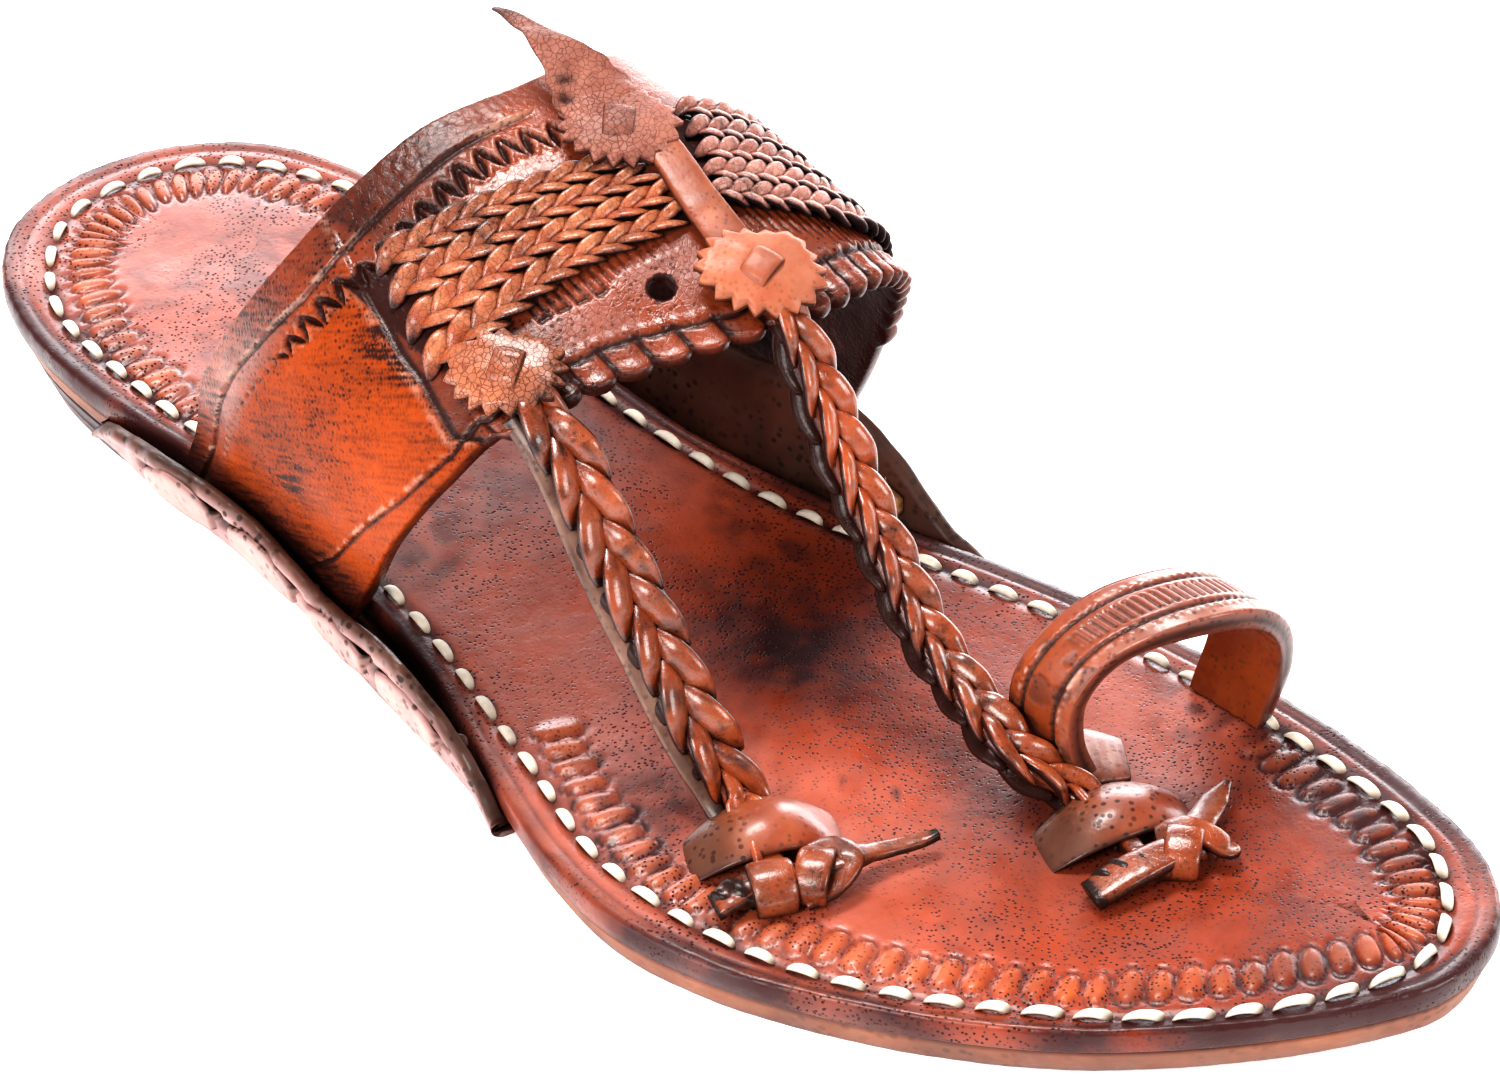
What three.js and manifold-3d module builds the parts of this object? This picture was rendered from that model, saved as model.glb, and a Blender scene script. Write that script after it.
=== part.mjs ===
// Kolhapuri sandal, right shoe: tooled leather, instep band, two plaited straps and a toe loop.
// Millimetres, +Z up, heel at +Y, toe at -Y, +X the inner side of the foot.
import * as THREE from 'three';
import Module from 'manifold-3d';

const wasm = await Module();
wasm.setup();

// Named sizes
const LENGTH = 264.4;        // insole, heel back to toe tip
const BALL = 94;             // insole at its widest
const INSOLE = 4.2;          // insole leather
const OUTSOLE = 4.3;         // outsole leather
const HEEL_RISE = 7.3;       // extra height of the heel over the forefoot
const TOE_SPRING = 2.7;      // lift of the toe
const INSTEP = 62;           // top of the band's front edge over the ground
const SPAN = 75;             // band's inner-to-outer width
const WALL = 2.4;            // band and ear leather
const LOOP_WALL = 3.0;       // toe loop leather
const PLAIT = 8.2;           // outer plaited strap, width
const PLAIT_T = 5.0;         // outer plaited strap, thickness
const PLAIT_IN = 6.6;        // inner plaited strap, width
const PLAIT_IN_T = 4.6;      // inner plaited strap, thickness
const GAP = 0.3;             // room between pieces that meet

const HEEL_Y = 131.6;                 // heel back
const TOE_Y = HEEL_Y - LENGTH;        // toe tip
const STACK = INSOLE + GAP + OUTSOLE; // forefoot thickness

// Helpers
const lerp = (a, b, t) => a + (b - a) * t;
const clamp = (x, a, b) => Math.min(b, Math.max(a, x));
const smooth = (a, b, x) => { const t = clamp((x - a) / (b - a), 0, 1); return t * t * (3 - 2 * t); };

function table(rows, key, at) {
  // monotone rows of {at, ...}: Catmull-Rom value of one column
  const n = rows.length;
  let i = 0;
  while (i < n - 2 && at > rows[i + 1].at) i++;
  const a = rows[Math.max(i - 1, 0)], b = rows[i], c = rows[i + 1], d = rows[Math.min(i + 2, n - 1)];
  const t = clamp((at - b.at) / (c.at - b.at), 0, 1);
  const m1 = (c[key] - a[key]) / Math.max(c.at - a.at, 1e-6) * (c.at - b.at);
  const m2 = (d[key] - b[key]) / Math.max(d.at - b.at, 1e-6) * (c.at - b.at);
  const t2 = t * t, t3 = t2 * t;
  const from = (2 * t3 - 3 * t2 + 1) * b[key] + (t3 - 2 * t2 + t) * m1;
  return from + (3 * t2 - 2 * t3) * c[key] + (t3 - t2) * m2;
}

function loft(rings, close = false) {
  // closed solid through rings of equal count; ends capped, or joined back when close is true
  const n = rings[0].length, verts = rings.flat(), tris = [];
  const count = close ? rings.length : rings.length - 1;
  for (let i = 0; i < count; i++) {
    const k = (i + 1) % rings.length;
    for (let j = 0; j < n; j++) {
      const a = i * n + j, b = i * n + (j + 1) % n, c = k * n + (j + 1) % n, d = k * n + j;
      tris.push([a, b, c], [a, c, d]);
    }
  }
  if (!close) {
    for (const [r, flip] of [[0, true], [rings.length - 1, false]]) {
      for (const t of cap(rings[r])) tris.push((flip ? [t[0], t[2], t[1]] : t).map((v) => r * n + v));
    }
  }
  return outward({ verts, tris });
}

function cap(ring) {
  const normal = new THREE.Vector3();
  ring.forEach((p, i) => {
    const q = ring[(i + 1) % ring.length];
    normal.x += (p[1] - q[1]) * (p[2] + q[2]);
    normal.y += (p[2] - q[2]) * (p[0] + q[0]);
    normal.z += (p[0] - q[0]) * (p[1] + q[1]);
  });
  normal.normalize();
  const side = new THREE.Vector3(1, 0, 0);
  if (Math.abs(normal.x) > 0.8) side.set(0, 1, 0);
  const ex = new THREE.Vector3().crossVectors(side, normal).normalize();
  const ey = new THREE.Vector3().crossVectors(normal, ex);
  const flat = ring.map((p) => {
    const v = new THREE.Vector3(...p);
    return new THREE.Vector2(v.dot(ex), v.dot(ey));
  });
  return THREE.ShapeUtils.triangulateShape(flat, []);
}

function outward(s) {
  let volume = 0;
  for (const [a, b, c] of s.tris) {
    const p = s.verts[a], q = s.verts[b], r = s.verts[c];
    volume += p[0] * (q[1] * r[2] - q[2] * r[1]) - p[1] * (q[0] * r[2] - q[2] * r[0])
      + p[2] * (q[0] * r[1] - q[1] * r[0]);
  }
  if (volume < 0) s.tris = s.tris.map(([a, b, c]) => [a, c, b]);
  return s;
}

const solid = (s) => new wasm.Manifold(new wasm.Mesh({
  numProp: 3, vertProperties: new Float32Array(s.verts.flat()), triVerts: new Uint32Array(s.tris.flat()),
}));

function fromGeometry(geometry, matrix) {
  // merges a built-in geometry's shared corners by position
  const p = geometry.attributes.position, map = new Map(), verts = [], ids = [];
  const v = new THREE.Vector3();
  for (let i = 0; i < p.count; i++) {
    v.fromBufferAttribute(p, i).applyMatrix4(matrix);
    const key = v.toArray().map((c) => c.toFixed(4)).join();
    if (!map.has(key)) { map.set(key, verts.length); verts.push(v.toArray()); }
    ids.push(map.get(key));
  }
  const index = geometry.index.array, tris = [];
  for (let i = 0; i < index.length; i += 3) {
    const t = [ids[index[i]], ids[index[i + 1]], ids[index[i + 2]]];
    if (new Set(t).size === 3) tris.push(t);
  }
  return solid(outward({ verts, tris }));
}

function toGeometry(s) {
  const g = new THREE.BufferGeometry();
  if (s.verts) {
    g.setAttribute('position', new THREE.BufferAttribute(new Float32Array(s.verts.flat()), 3));
    g.setIndex(s.tris.flat());
  } else {
    const m = s.getMesh();
    g.setAttribute('position', new THREE.BufferAttribute(new Float32Array(m.vertProperties), 3));
    g.setIndex(new THREE.BufferAttribute(new Uint32Array(m.triVerts), 1));
  }
  g.computeVertexNormals();
  return g;
}

const group = new THREE.Group();
function piece(name, shape, color, roughness) {
  const material = new THREE.MeshStandardMaterial({ color, roughness, metalness: 0 });
  const mesh = new THREE.Mesh(toGeometry(shape), material);
  mesh.name = name;
  group.add(mesh);
}
const RED_BROWN = 0x8a3413, DARK = 0x4a2118, ORANGE = 0xa8481a, TAN = 0xc07a3c;

// Sole outline: shares of the length from the heel, and of the ball width to each side
const OUTLINE = [
  { at: 0.047, lateral: 0.250, medial: 0.266 },
  { at: 0.096, lateral: 0.309, medial: 0.324 },
  { at: 0.153, lateral: 0.335, medial: 0.340 },
  { at: 0.210, lateral: 0.338, medial: 0.324 },
  { at: 0.267, lateral: 0.324, medial: 0.298 },
  { at: 0.324, lateral: 0.318, medial: 0.281 },
  { at: 0.381, lateral: 0.325, medial: 0.279 },
  { at: 0.438, lateral: 0.349, medial: 0.296 },
  { at: 0.495, lateral: 0.389, medial: 0.332 },
  { at: 0.552, lateral: 0.451, medial: 0.377 },
  { at: 0.610, lateral: 0.502, medial: 0.417 },
  { at: 0.667, lateral: 0.524, medial: 0.451 },
  { at: 0.724, lateral: 0.497, medial: 0.474 },
  { at: 0.781, lateral: 0.436, medial: 0.483 },
  { at: 0.838, lateral: 0.352, medial: 0.479 },
  { at: 0.895, lateral: 0.237, medial: 0.457 },
  { at: 0.952, lateral: 0.066, medial: 0.404 },
];
const TOE_X = 0.181;         // toe tip's shift to the inner side, share of the ball width
const ROUND = [              // points that round off heel and toe
  { at: 0.0125, across: -0.149 }, { at: 0, across: 0 }, { at: 0.0145, across: 0.16 },
];
const ROUND_TOE = [
  { at: 0.989, across: 0.309 }, { at: 1, across: TOE_X }, { at: 0.986, across: 0.078 },
];
const Y = (at) => HEEL_Y - at * LENGTH;

const loop = [
  ...ROUND.map((r) => [r.across * BALL, Y(r.at)]),
  ...OUTLINE.map((r) => [r.medial * BALL, Y(r.at)]),
  ...ROUND_TOE.map((r) => [r.across * BALL, Y(r.at)]),
  ...[...OUTLINE].reverse().map((r) => [-r.lateral * BALL, Y(r.at)]),
];
const outlineCurve = new THREE.CatmullRomCurve3(
  loop.map(([x, y]) => new THREE.Vector3(x, y, 0)), true, 'centripetal');
const EDGE = outlineCurve.getPoints(720).slice(0, -1).map((p) => [p.x, p.y]);

const offsets = new Map();
function offset(inset) {
  // the edge moved inwards along its normals, point for point
  if (!offsets.has(inset)) {
    const n = EDGE.length;
    offsets.set(inset, EDGE.map((p, i) => {
      const a = EDGE[(i + n - 4) % n], b = EDGE[(i + 4) % n];
      const dx = b[0] - a[0], dy = b[1] - a[1], l = Math.hypot(dx, dy);
      return [p[0] + dy / l * inset, p[1] - dx / l * inset];
    }));
  }
  return offsets.get(inset);
}
const HEEL_I = EDGE.reduce((best, p, i) => (p[1] > EDGE[best][1] ? i : best), 0);
const TOE_I = EDGE.reduce((best, p, i) => (p[1] < EDGE[best][1] ? i : best), 0);
function walk(from, to) {
  const out = [];
  for (let i = from; ; i = (i + 1) % EDGE.length) { out.push(i); if (i === to) return out; }
}
const SIDES = { med: walk(HEEL_I, TOE_I), lat: walk(TOE_I, HEEL_I).reverse() };   // heel to toe
function edgeAt(key, y) {
  // where the edge passes y on one side, as a function of the inset
  const side = SIDES[key];
  let a = 0, b = side.length - 1;
  while (b - a > 1) { const m = (a + b) >> 1; if (EDGE[side[m]][1] > y) a = m; else b = m; }
  const p = EDGE[side[a]][1], t = clamp((p - y) / Math.max(p - EDGE[side[b]][1], 1e-9), 0, 1);
  return (inset) => offset(inset)[side[a]].map((c, i) => lerp(c, offset(inset)[side[b]][i], t));
}

// Top of the insole: flat forefoot, rising waist, level heel, lifted toe
const RISE_FROM = -15, RISE_TO = 75, SPRING_FROM = -60;
const topZ = (y) => STACK + HEEL_RISE * smooth(RISE_FROM, RISE_TO, y)
  + TOE_SPRING * Math.pow(clamp((SPRING_FROM - y) / 65, 0, 1.3), 2);

function layer(levels, front = null, n = 42) {
  // levels run from the bottom up: {inset, z(y)}; front is the y of a straight front edge
  const rings = [];
  for (let i = 0; i <= n; i++) {
    const a = front === null ? Math.PI * lerp(0.03, 0.97, i / n) : Math.PI / 2 * lerp(0, 0.95, i / n);
    const share = front === null ? (1 - Math.cos(a)) / 2 : Math.sin(a);
    const y = lerp(front === null ? TOE_Y : front, HEEL_Y, share);
    const side = (key) => levels.map((l) => {
      const [x, at] = edgeAt(key, y)(l.inset);
      return [x, at, l.z(at)];
    });
    rings.push([...side('lat'), ...side('med').reverse()]);
  }
  return loft(rings);
}

// Leather ears: a flange that turns up beside the foot, its root held under the insole
const EARS = {
  lateral: {
    side: -1, from: 84, to: -17.5, push: 7.0,
    rows: [
      { at: -20, top: -0.6, out: 0.05 }, { at: -15, top: 2.2, out: 0.1 }, { at: -10, top: 4.6, out: 0.2 },
      { at: -3, top: 8.6, out: 0.5 }, { at: 5, top: 12.0, out: 0.8 }, { at: 12, top: 12.2, out: 0.95 },
      { at: 20, top: 9.6, out: 1 }, { at: 27, top: 8.0, out: 1 }, { at: 34, top: 9.0, out: 1 },
      { at: 42, top: 10.4, out: 1 }, { at: 52, top: 10.2, out: 1 }, { at: 62, top: 9.0, out: 0.95 },
      { at: 70, top: 7.0, out: 0.7 }, { at: 77, top: 3.8, out: 0.4 }, { at: 84, top: -0.6, out: 0.1 },
    ],
  },
  medial: {
    side: 1, from: 66, to: -26, push: 2.4,
    rows: [
      { at: -26, top: -0.6, out: 0.1 }, { at: -22, top: 2.6, out: 0.3 }, { at: -17, top: 6.4, out: 0.6 },
      { at: -12, top: 11.6, out: 0.85 }, { at: -7, top: 17.0, out: 1 }, { at: -2, top: 21.0, out: 1 },
      { at: 6, top: 22.4, out: 1 }, { at: 16, top: 20.4, out: 0.95 }, { at: 28, top: 17.0, out: 0.9 },
      { at: 42, top: 12.4, out: 0.8 }, { at: 54, top: 7.0, out: 0.6 }, { at: 66, top: -0.6, out: 0.1 },
    ],
  },
};
const ROOT = 7;              // how far an ear's root reaches under the insole
const EAR_DROP = 1.7;        // root's middle below the insole's underside

function earLine(ear, y) {
  // middle line of an ear's section at y: out from the insole's edge, and height over its underside
  const top = table(ear.rows, 'top', y), out = ear.push * table(ear.rows, 'out', y);
  const low = Math.min(-0.9, lerp(-EAR_DROP, top, 0.35)), bend = Math.min(1.6, lerp(-EAR_DROP, top, 0.6));
  const foot = Math.max(out * 0.92 + 0.3, 1.6), edge = Math.max(out + 0.6, 1.65) + Math.max(top, 0) * 0.03;
  return [
    [-ROOT, -EAR_DROP], [-0.6, -EAR_DROP], [foot * 0.62, low], [foot, bend],
    [lerp(foot, edge, 0.6), lerp(bend, top, 0.5)], [edge, top],
  ];
}
function earPoint(ear, y, o, z) {
  const x = edgeAt(ear.side < 0 ? 'lat' : 'med', y)(0)[0];
  return [x + ear.side * o, y, topZ(y) - INSOLE + z];
}
function thicken(line, t) {
  // ring round an open line in a plane
  const left = [], right = [];
  line.forEach((p, i) => {
    const a = line[Math.max(i - 1, 0)], b = line[Math.min(i + 1, line.length - 1)];
    const dx = b[0] - a[0], dy = b[1] - a[1], l = Math.hypot(dx, dy);
    left.push([p[0] - dy / l * t / 2, p[1] + dx / l * t / 2]);
    right.push([p[0] + dy / l * t / 2, p[1] - dx / l * t / 2]);
  });
  return [...left, ...right.reverse()];
}
function earSolid(ear) {
  const rings = [], n = 20;
  for (let i = 0; i <= n; i++) {
    const y = lerp(ear.to, ear.from, i / n);
    rings.push(thicken(earLine(ear, y), WALL).map(([o, z]) => earPoint(ear, y, o, z)));
  }
  return solid(loft(rings));
}
function earWall(ear, y, w, h) {
  // a point on the standing wall: w up from its foot (0) to its edge (1), h outward of its middle
  const l = earLine(ear, y), a = l[3], b = l[5];
  const dx = b[0] - a[0], dz = b[1] - a[1], d = Math.hypot(dx, dz);
  return [lerp(a[0], b[0], w) + dz / d * h, lerp(a[1], b[1], w) - dx / d * h];
}
function recess(ear) {
  // the seat of an ear's root in the outsole
  const rings = [], n = 16, room = 0.35;
  for (let i = 0; i <= n; i++) {
    const y = lerp(ear.to - room, ear.from + room, i / n);
    const low = -EAR_DROP - WALL / 2 - room;
    const ring = [[-ROOT - room, low], [14, low], [14, 2], [-ROOT - room, 2]];
    rings.push(ring.map(([o, z]) => earPoint(ear, y, o, z)));
  }
  return solid(loft(rings));
}

// Thongs woven through the ears: stretches that show outside
const THONG = { width: 5.6, thick: 1.2, room: 0.35 };
const WEAVE = {
  lateral: { start: 66, end: -5.5, up: 0.55, outside: [[62, 54], [49, 37], [31, 19], [8, -2]] },
  medial: { start: 2, end: -12.2, up: 0.5, outside: [[-5.2, -8.8]] },
};
function thongOffset(weave, y) {
  const reach = WALL / 2 + THONG.thick / 2 + THONG.room;
  let h = -reach;
  for (const [a, b] of weave.outside) {
    h += 2 * reach * smooth(a + 1.6, a - 1.6, y) * smooth(b - 1.6, b + 1.6, y);
  }
  return h;
}
function thongSolid(ear, weave, grow = 0) {
  const rings = [], n = Math.round((weave.start - weave.end) / 1.9);
  for (let i = 0; i <= n; i++) {
    const y = lerp(weave.start + grow, weave.end - grow, i / n), h = thongOffset(weave, y);
    const l = earLine(ear, y), high = Math.hypot(l[5][0] - l[3][0], l[5][1] - l[3][1]);
    const w = Math.min(THONG.width, high * 0.72) + 2 * grow, t = THONG.thick / 2 + grow;
    const a = weave.up - w / high / 2, b = weave.up + w / high / 2;
    const ring = [[a, h - t], [b, h - t], [b, h + t], [a, h + t]].map(([f, k]) => earWall(ear, y, f, k));
    rings.push(ring.map(([o, z]) => earPoint(ear, y, o, z)));
  }
  return solid(loft(rings));
}

// Instep band: ruled wall between its front and back edges, from outer leg to inner leg
const BAND = [
  { xf: -0.452, yf: 26.0, zf: 0.150, xb: -0.436, yb: 63.0, zb: 0.264 },
  { xf: -0.458, yf: 20.0, zf: 0.306, xb: -0.446, yb: 58.5, zb: 0.400 },
  { xf: -0.484, yf: 11.0, zf: 0.532, xb: -0.470, yb: 52.5, zb: 0.625 },
  { xf: -0.464, yf: 1.5, zf: 0.758, xb: -0.448, yb: 45.0, zb: 0.838 },
  { xf: -0.393, yf: -3.4, zf: 0.890, xb: -0.373, yb: 39.0, zb: 1.010 },
  { xf: -0.267, yf: -6.4, zf: 0.943, xb: -0.260, yb: 36.0, zb: 1.130 },
  { xf: -0.107, yf: -10.2, zf: 0.965, xb: -0.107, yb: 34.0, zb: 1.215 },
  { xf: 0.053, yf: -15.4, zf: 0.986, xb: 0.053, yb: 31.0, zb: 1.238 },
  { xf: 0.213, yf: -19.0, zf: 1.000, xb: 0.213, yb: 28.5, zb: 1.246 },
  { xf: 0.353, yf: -18.5, zf: 0.980, xb: 0.345, yb: 28.0, zb: 1.188 },
  { xf: 0.446, yf: -16.0, zf: 0.893, xb: 0.431, yb: 30.5, zb: 1.050 },
  { xf: 0.496, yf: -11.0, zf: 0.738, xb: 0.477, yb: 35.5, zb: 0.860 },
  { xf: 0.524, yf: -4.5, zf: 0.510, xb: 0.493, yb: 41.0, zb: 0.620 },
  { xf: 0.530, yf: 1.5, zf: 0.310, xb: 0.485, yb: 45.0, zb: 0.400 },
  { xf: 0.527, yf: 5.0, zf: 0.175, xb: 0.470, yb: 47.0, zb: 0.230 },
];
const ROWS_N = BAND.length - 1;
const curveOf = (x, y, z) => new THREE.CatmullRomCurve3(
  BAND.map((r) => new THREE.Vector3(r[x] * SPAN, r[y], r[z] * INSTEP)), false, 'centripetal');
const FRONT = curveOf('xf', 'yf', 'zf'), BACK = curveOf('xb', 'yb', 'zb');
const at = (s) => s / ROWS_N;
const BOW = 1.4;             // band's swell between its edges

function bandMid(u, v) {
  const f = FRONT.getPoint(clamp(u, 0, 1)), b = BACK.getPoint(clamp(u, 0, 1));
  return f.lerp(b, v);
}
function band(u, v, h) {
  const e = 1e-3, u0 = clamp(u - e, 0, 1), u1 = clamp(u + e, 0, 1);
  const du = bandMid(u1, v).sub(bandMid(u0, v)), dv = bandMid(u, v + e).sub(bandMid(u, v - e));
  const normal = du.cross(dv).normalize();
  if (normal.dot(bandMid(u, v).sub(new THREE.Vector3(2, 15, 20))) < 0) normal.negate();
  const bow = BOW * 4 * v * (1 - v) * smooth(0, 0.2, u) * smooth(1, 0.8, u);
  return bandMid(u, v).addScaledVector(normal, h + bow).toArray();
}

const SEAM = at(3.9), SEAM_LEAN = 1.04;     // edge of the plain outer side panel, and its lean
const PANEL_HIGH = 0.7;
const STRIP = { from: at(7.1), to: at(7.95), front: 0.2, back: 0.8, high: 1.7 };
const PLAITED = [
  { from: at(4.1), to: at(6.9), rows: 4 },
  { from: at(8.0), to: at(11.3), rows: 5 },
];
const ROW_AT = 0.42, ROW_PITCH = 0.07, ROW_HIGH = 1.9, ROW_STEP = at(0.11);
const FAN = [                // where the plaited rows' front and rear sides run on the band
  { at: at(3.0), front: 0.19, rear: 0.83, rows: 4 }, { at: at(4.1), front: 0.23, rear: 0.79, rows: 4 },
  { at: at(5.0), front: 0.267, rear: 0.733, rows: 4 }, { at: at(6.0), front: 0.32, rear: 0.68, rows: 4 },
  { at: at(7.0), front: 0.34, rear: 0.666, rows: 4 }, { at: at(7.9), front: 0.375, rear: 0.77, rows: 5 },
  { at: at(8.5), front: 0.25, rear: 0.75, rows: 5 }, { at: at(9.2), front: 0.149, rear: 0.66, rows: 5 },
  { at: at(11.3), front: 0.1, rear: 0.6, rows: 5 }, { at: at(12.5), front: 0.1, rear: 0.6, rows: 5 },
];
const SEGMENTS = 60, SCALLOP = 3;          // wall steps round the band, steps to a scallop
const ACROSS = [
  0, 0.07, 0.2, 0.3, 0.42, 0.455, 0.49, 0.525, 0.56, 0.595, 0.63, 0.665, 0.70, 0.735, 0.77, 0.8, 0.9, 1,
];

function fanned(u, v) {
  // places of the wall's grid, moved so that its lines follow the rows and the panel's seam
  const front = table(FAN, 'front', u), rear = table(FAN, 'rear', u);
  const last = ROW_AT + ROW_PITCH * table(FAN, 'rows', u);
  let moved = lerp(front, rear, (v - ROW_AT) / (last - ROW_AT));
  if (v < ROW_AT) moved = v / ROW_AT * front;
  if (v > last) moved = lerp(rear, 1, (v - last) / (1 - last));
  const lean = at(SEAM_LEAN * (moved - 0.36)) * Math.max(0, 1 - Math.abs(u - SEAM) / at(2.4));
  return [u + lean, moved];
}
function raised(i, v) {
  const u = i / SEGMENTS;
  let h = u < SEAM ? PANEL_HIGH : 0;
  for (const p of PLAITED) {
    const r = (v - ROW_AT) / ROW_PITCH;
    if (u < p.from + ROW_STEP * r || u > p.to) continue;
    if (r > 0.01 && r < p.rows - 0.01 && Math.abs(r % 1 - 0.5) < 0.1) h = ROW_HIGH * (i % 2 ? 1 : 0.78);
  }
  if (u > STRIP.from && u < STRIP.to && v > STRIP.front - 0.01 && v < STRIP.back + 0.01) h = STRIP.high;
  return h;
}
function bandSolid() {
  const verts = [], tris = [], inner = [0, 0.25, 0.5, 0.75, 1];
  const scallop = (i) => {
    const u = i / SEGMENTS;
    return u > SEAM && u < at(11.6) ? -0.038 * Math.abs(Math.sin(Math.PI * i / SCALLOP)) : 0;
  };
  const m = ACROSS.length, k = inner.length, ring = m + k;
  for (let i = 0; i <= SEGMENTS; i++) {
    const u = i / SEGMENTS;
    ACROSS.forEach((v, j) => {
      const [along, across] = fanned(u, v);
      verts.push(band(along, j ? across : scallop(i), raised(i, v)));
    });
    [...inner].reverse().forEach((v) => verts.push(band(u, v === 0 ? scallop(i) : v, -WALL)));
  }
  for (let i = 0; i < SEGMENTS; i++) {
    for (let j = 0; j < ring; j++) {
      const a = i * ring + j, b = i * ring + (j + 1) % ring, c = a + ring, d = b + ring;
      tris.push([a, b, d], [a, d, c]);
    }
  }
  // legs' ends: strips between the outer and inner lines
  for (const [i, flip] of [[0, true], [SEGMENTS, false]]) {
    const o = i * ring;
    let a = 0, b = ring - 1;               // outer runs up, inner runs down from the last vertex
    while (a < m - 1 || b > m) {
      const stepOuter = b <= m || (a < m - 1 && ACROSS[a + 1] <= inner[ring - 1 - (b - 1)]);
      const t = stepOuter ? [a, a + 1, b] : [a, b - 1, b];
      if (stepOuter) a++; else b--;
      tris.push((flip ? [t[0], t[2], t[1]] : t).map((q) => q + o));
    }
  }
  return solid(outward({ verts, tris }));
}

// Plaited straps
// Section of a plait: across, up, and the strand's phase there
const PLAIT_RING = [
  [1, 0, 0], [0.6, 0.9, 0], [0, 0.8, 0.25], [-0.6, 0.9, 0.5],
  [-1, 0, 0.5], [-0.65, -0.85, 0.5], [0, -1, 0.25], [0.65, -0.85, 0],
];
function strapSolid(points, widths, pitch, phase) {
  // plait along a path; widths rows {at, wide, thick, plait, roll}: roll turns the flat side
  const curve = (i) => new THREE.CatmullRomCurve3(
    points.map((p) => new THREE.Vector3(...p.slice(i, i + 3))), false, 'centripetal');
  const path = curve(0), ups = curve(3);
  const length = path.getLength(), n = Math.round(length / pitch * 4), rings = [];
  for (let i = 0; i <= n; i++) {
    const s = i / n, u = path.getUtoTmapping(s), c = path.getPoint(u), t = path.getTangent(u);
    const up = ups.getPoint(u), side = new THREE.Vector3().crossVectors(t, up).normalize();
    up.crossVectors(side, t).normalize();
    const w = table(widths, 'wide', s) / 2, k = table(widths, 'thick', s) / 2, p = table(widths, 'plait', s);
    const wave = (a) => 1 + 0.13 * p * Math.cos(2 * Math.PI * (i / 4 + a + phase));
    const ring = [];
    for (const [x, z, a] of PLAIT_RING) {
      const f = wave(a);
      const high = z * k * (z > 0 ? f : 1);
      ring.push(c.clone().addScaledVector(side, x * w * f).addScaledVector(up, high).toArray());
    }
    rings.push(ring);
  }
  return solid(loft(rings));
}

// Raised half-moon bridges of insole leather, and what passes under them
const BRIDGES = {
  lateral: { x: -26.0, y: -49.8, along: [0.872, -0.490], knot: -0.6, long: 21, wide: 9.6, high: 5.0 },
  medial: { x: 8.9, y: -80.9, along: [0.917, -0.399], knot: -0.2, long: 22, wide: 9.4, high: 5.0 },
};
const BRIDGE_T = 1.4;
function bridgeSolid(b) {
  const [ax, ay] = b.along, px = ay, py = -ax;        // px,py: the way through, towards the toe
  const rings = [], n = 14;
  for (let i = 0; i <= n; i++) {
    const s = i / n, lift = Math.sin(Math.PI * s), l = (s - 0.5) * b.long;
    const wide = b.wide * (0.5 + 0.5 * lift) / 2, z = topZ(b.y) - 1.2 + (b.high + 1.2) * Math.pow(lift, 0.8);
    const slope = Math.cos(Math.PI * s) * 0.9, nz = 1 / Math.hypot(1, slope), nx = -slope * nz;
    const p = (across, t) => {
      const a = l + nx * t;
      return [b.x + ax * a + px * across, b.y + ay * a + py * across, z + nz * t];
    };
    rings.push([p(-wide, -BRIDGE_T), p(wide, -BRIDGE_T), p(wide, 0), p(-wide, 0)]);
  }
  return solid(loft(rings));
}
function under(b, along, across, up) {
  const [ax, ay] = b.along;
  const x = b.x + ax * along + ay * across, y = b.y + ay * along - ax * across;
  return [x, y, topZ(y) + up];
}
const lump = (c, size, turn) => {
  const turned = new THREE.Quaternion().setFromEuler(new THREE.Euler(...turn));
  const m = new THREE.Matrix4().compose(new THREE.Vector3(...c), turned, new THREE.Vector3(...size));
  return fromGeometry(new THREE.SphereGeometry(1, 8, 6), m);
};
function knotSolid(b, tail) {
  const c = (a, k, z) => under(b, a, k, z), yaw = Math.atan2(b.along[1], b.along[0]);
  return lump(c(b.knot, 9.9, 3.7), [4.6, 3.3, 3.2], [0, 0, yaw])
    .add(lump(c(b.knot - 6.0, 9.5, 3.2), [4.4, 2.9, 2.6], [0, 0, yaw + 0.1]))
    .add(lump(c(b.knot + 5.6, 9.7, 3.9), [4.6, 3.6, 3.4], [0, 0, yaw - 0.15]))
    .add(tail);
}
function tailSolid(points, wide, thick) {
  const path = new THREE.CatmullRomCurve3(points.map((p) => new THREE.Vector3(...p)), false, 'centripetal');
  const rings = [], n = 8, z = new THREE.Vector3(0, 0, 1);
  for (let i = 0; i <= n; i++) {
    const s = i / n, c = path.getPoint(s), t = path.getTangent(s);
    const side = new THREE.Vector3().crossVectors(t, z).normalize(), w = wide / 2 * (1 - 0.75 * s * s);
    rings.push([[w, -thick / 2], [w, thick / 2], [-w, thick / 2], [-w, -thick / 2]].map(([a, k]) =>
      c.clone().addScaledVector(side, a).addScaledVector(z, k).toArray()));
  }
  return solid(loft(rings));
}

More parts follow.
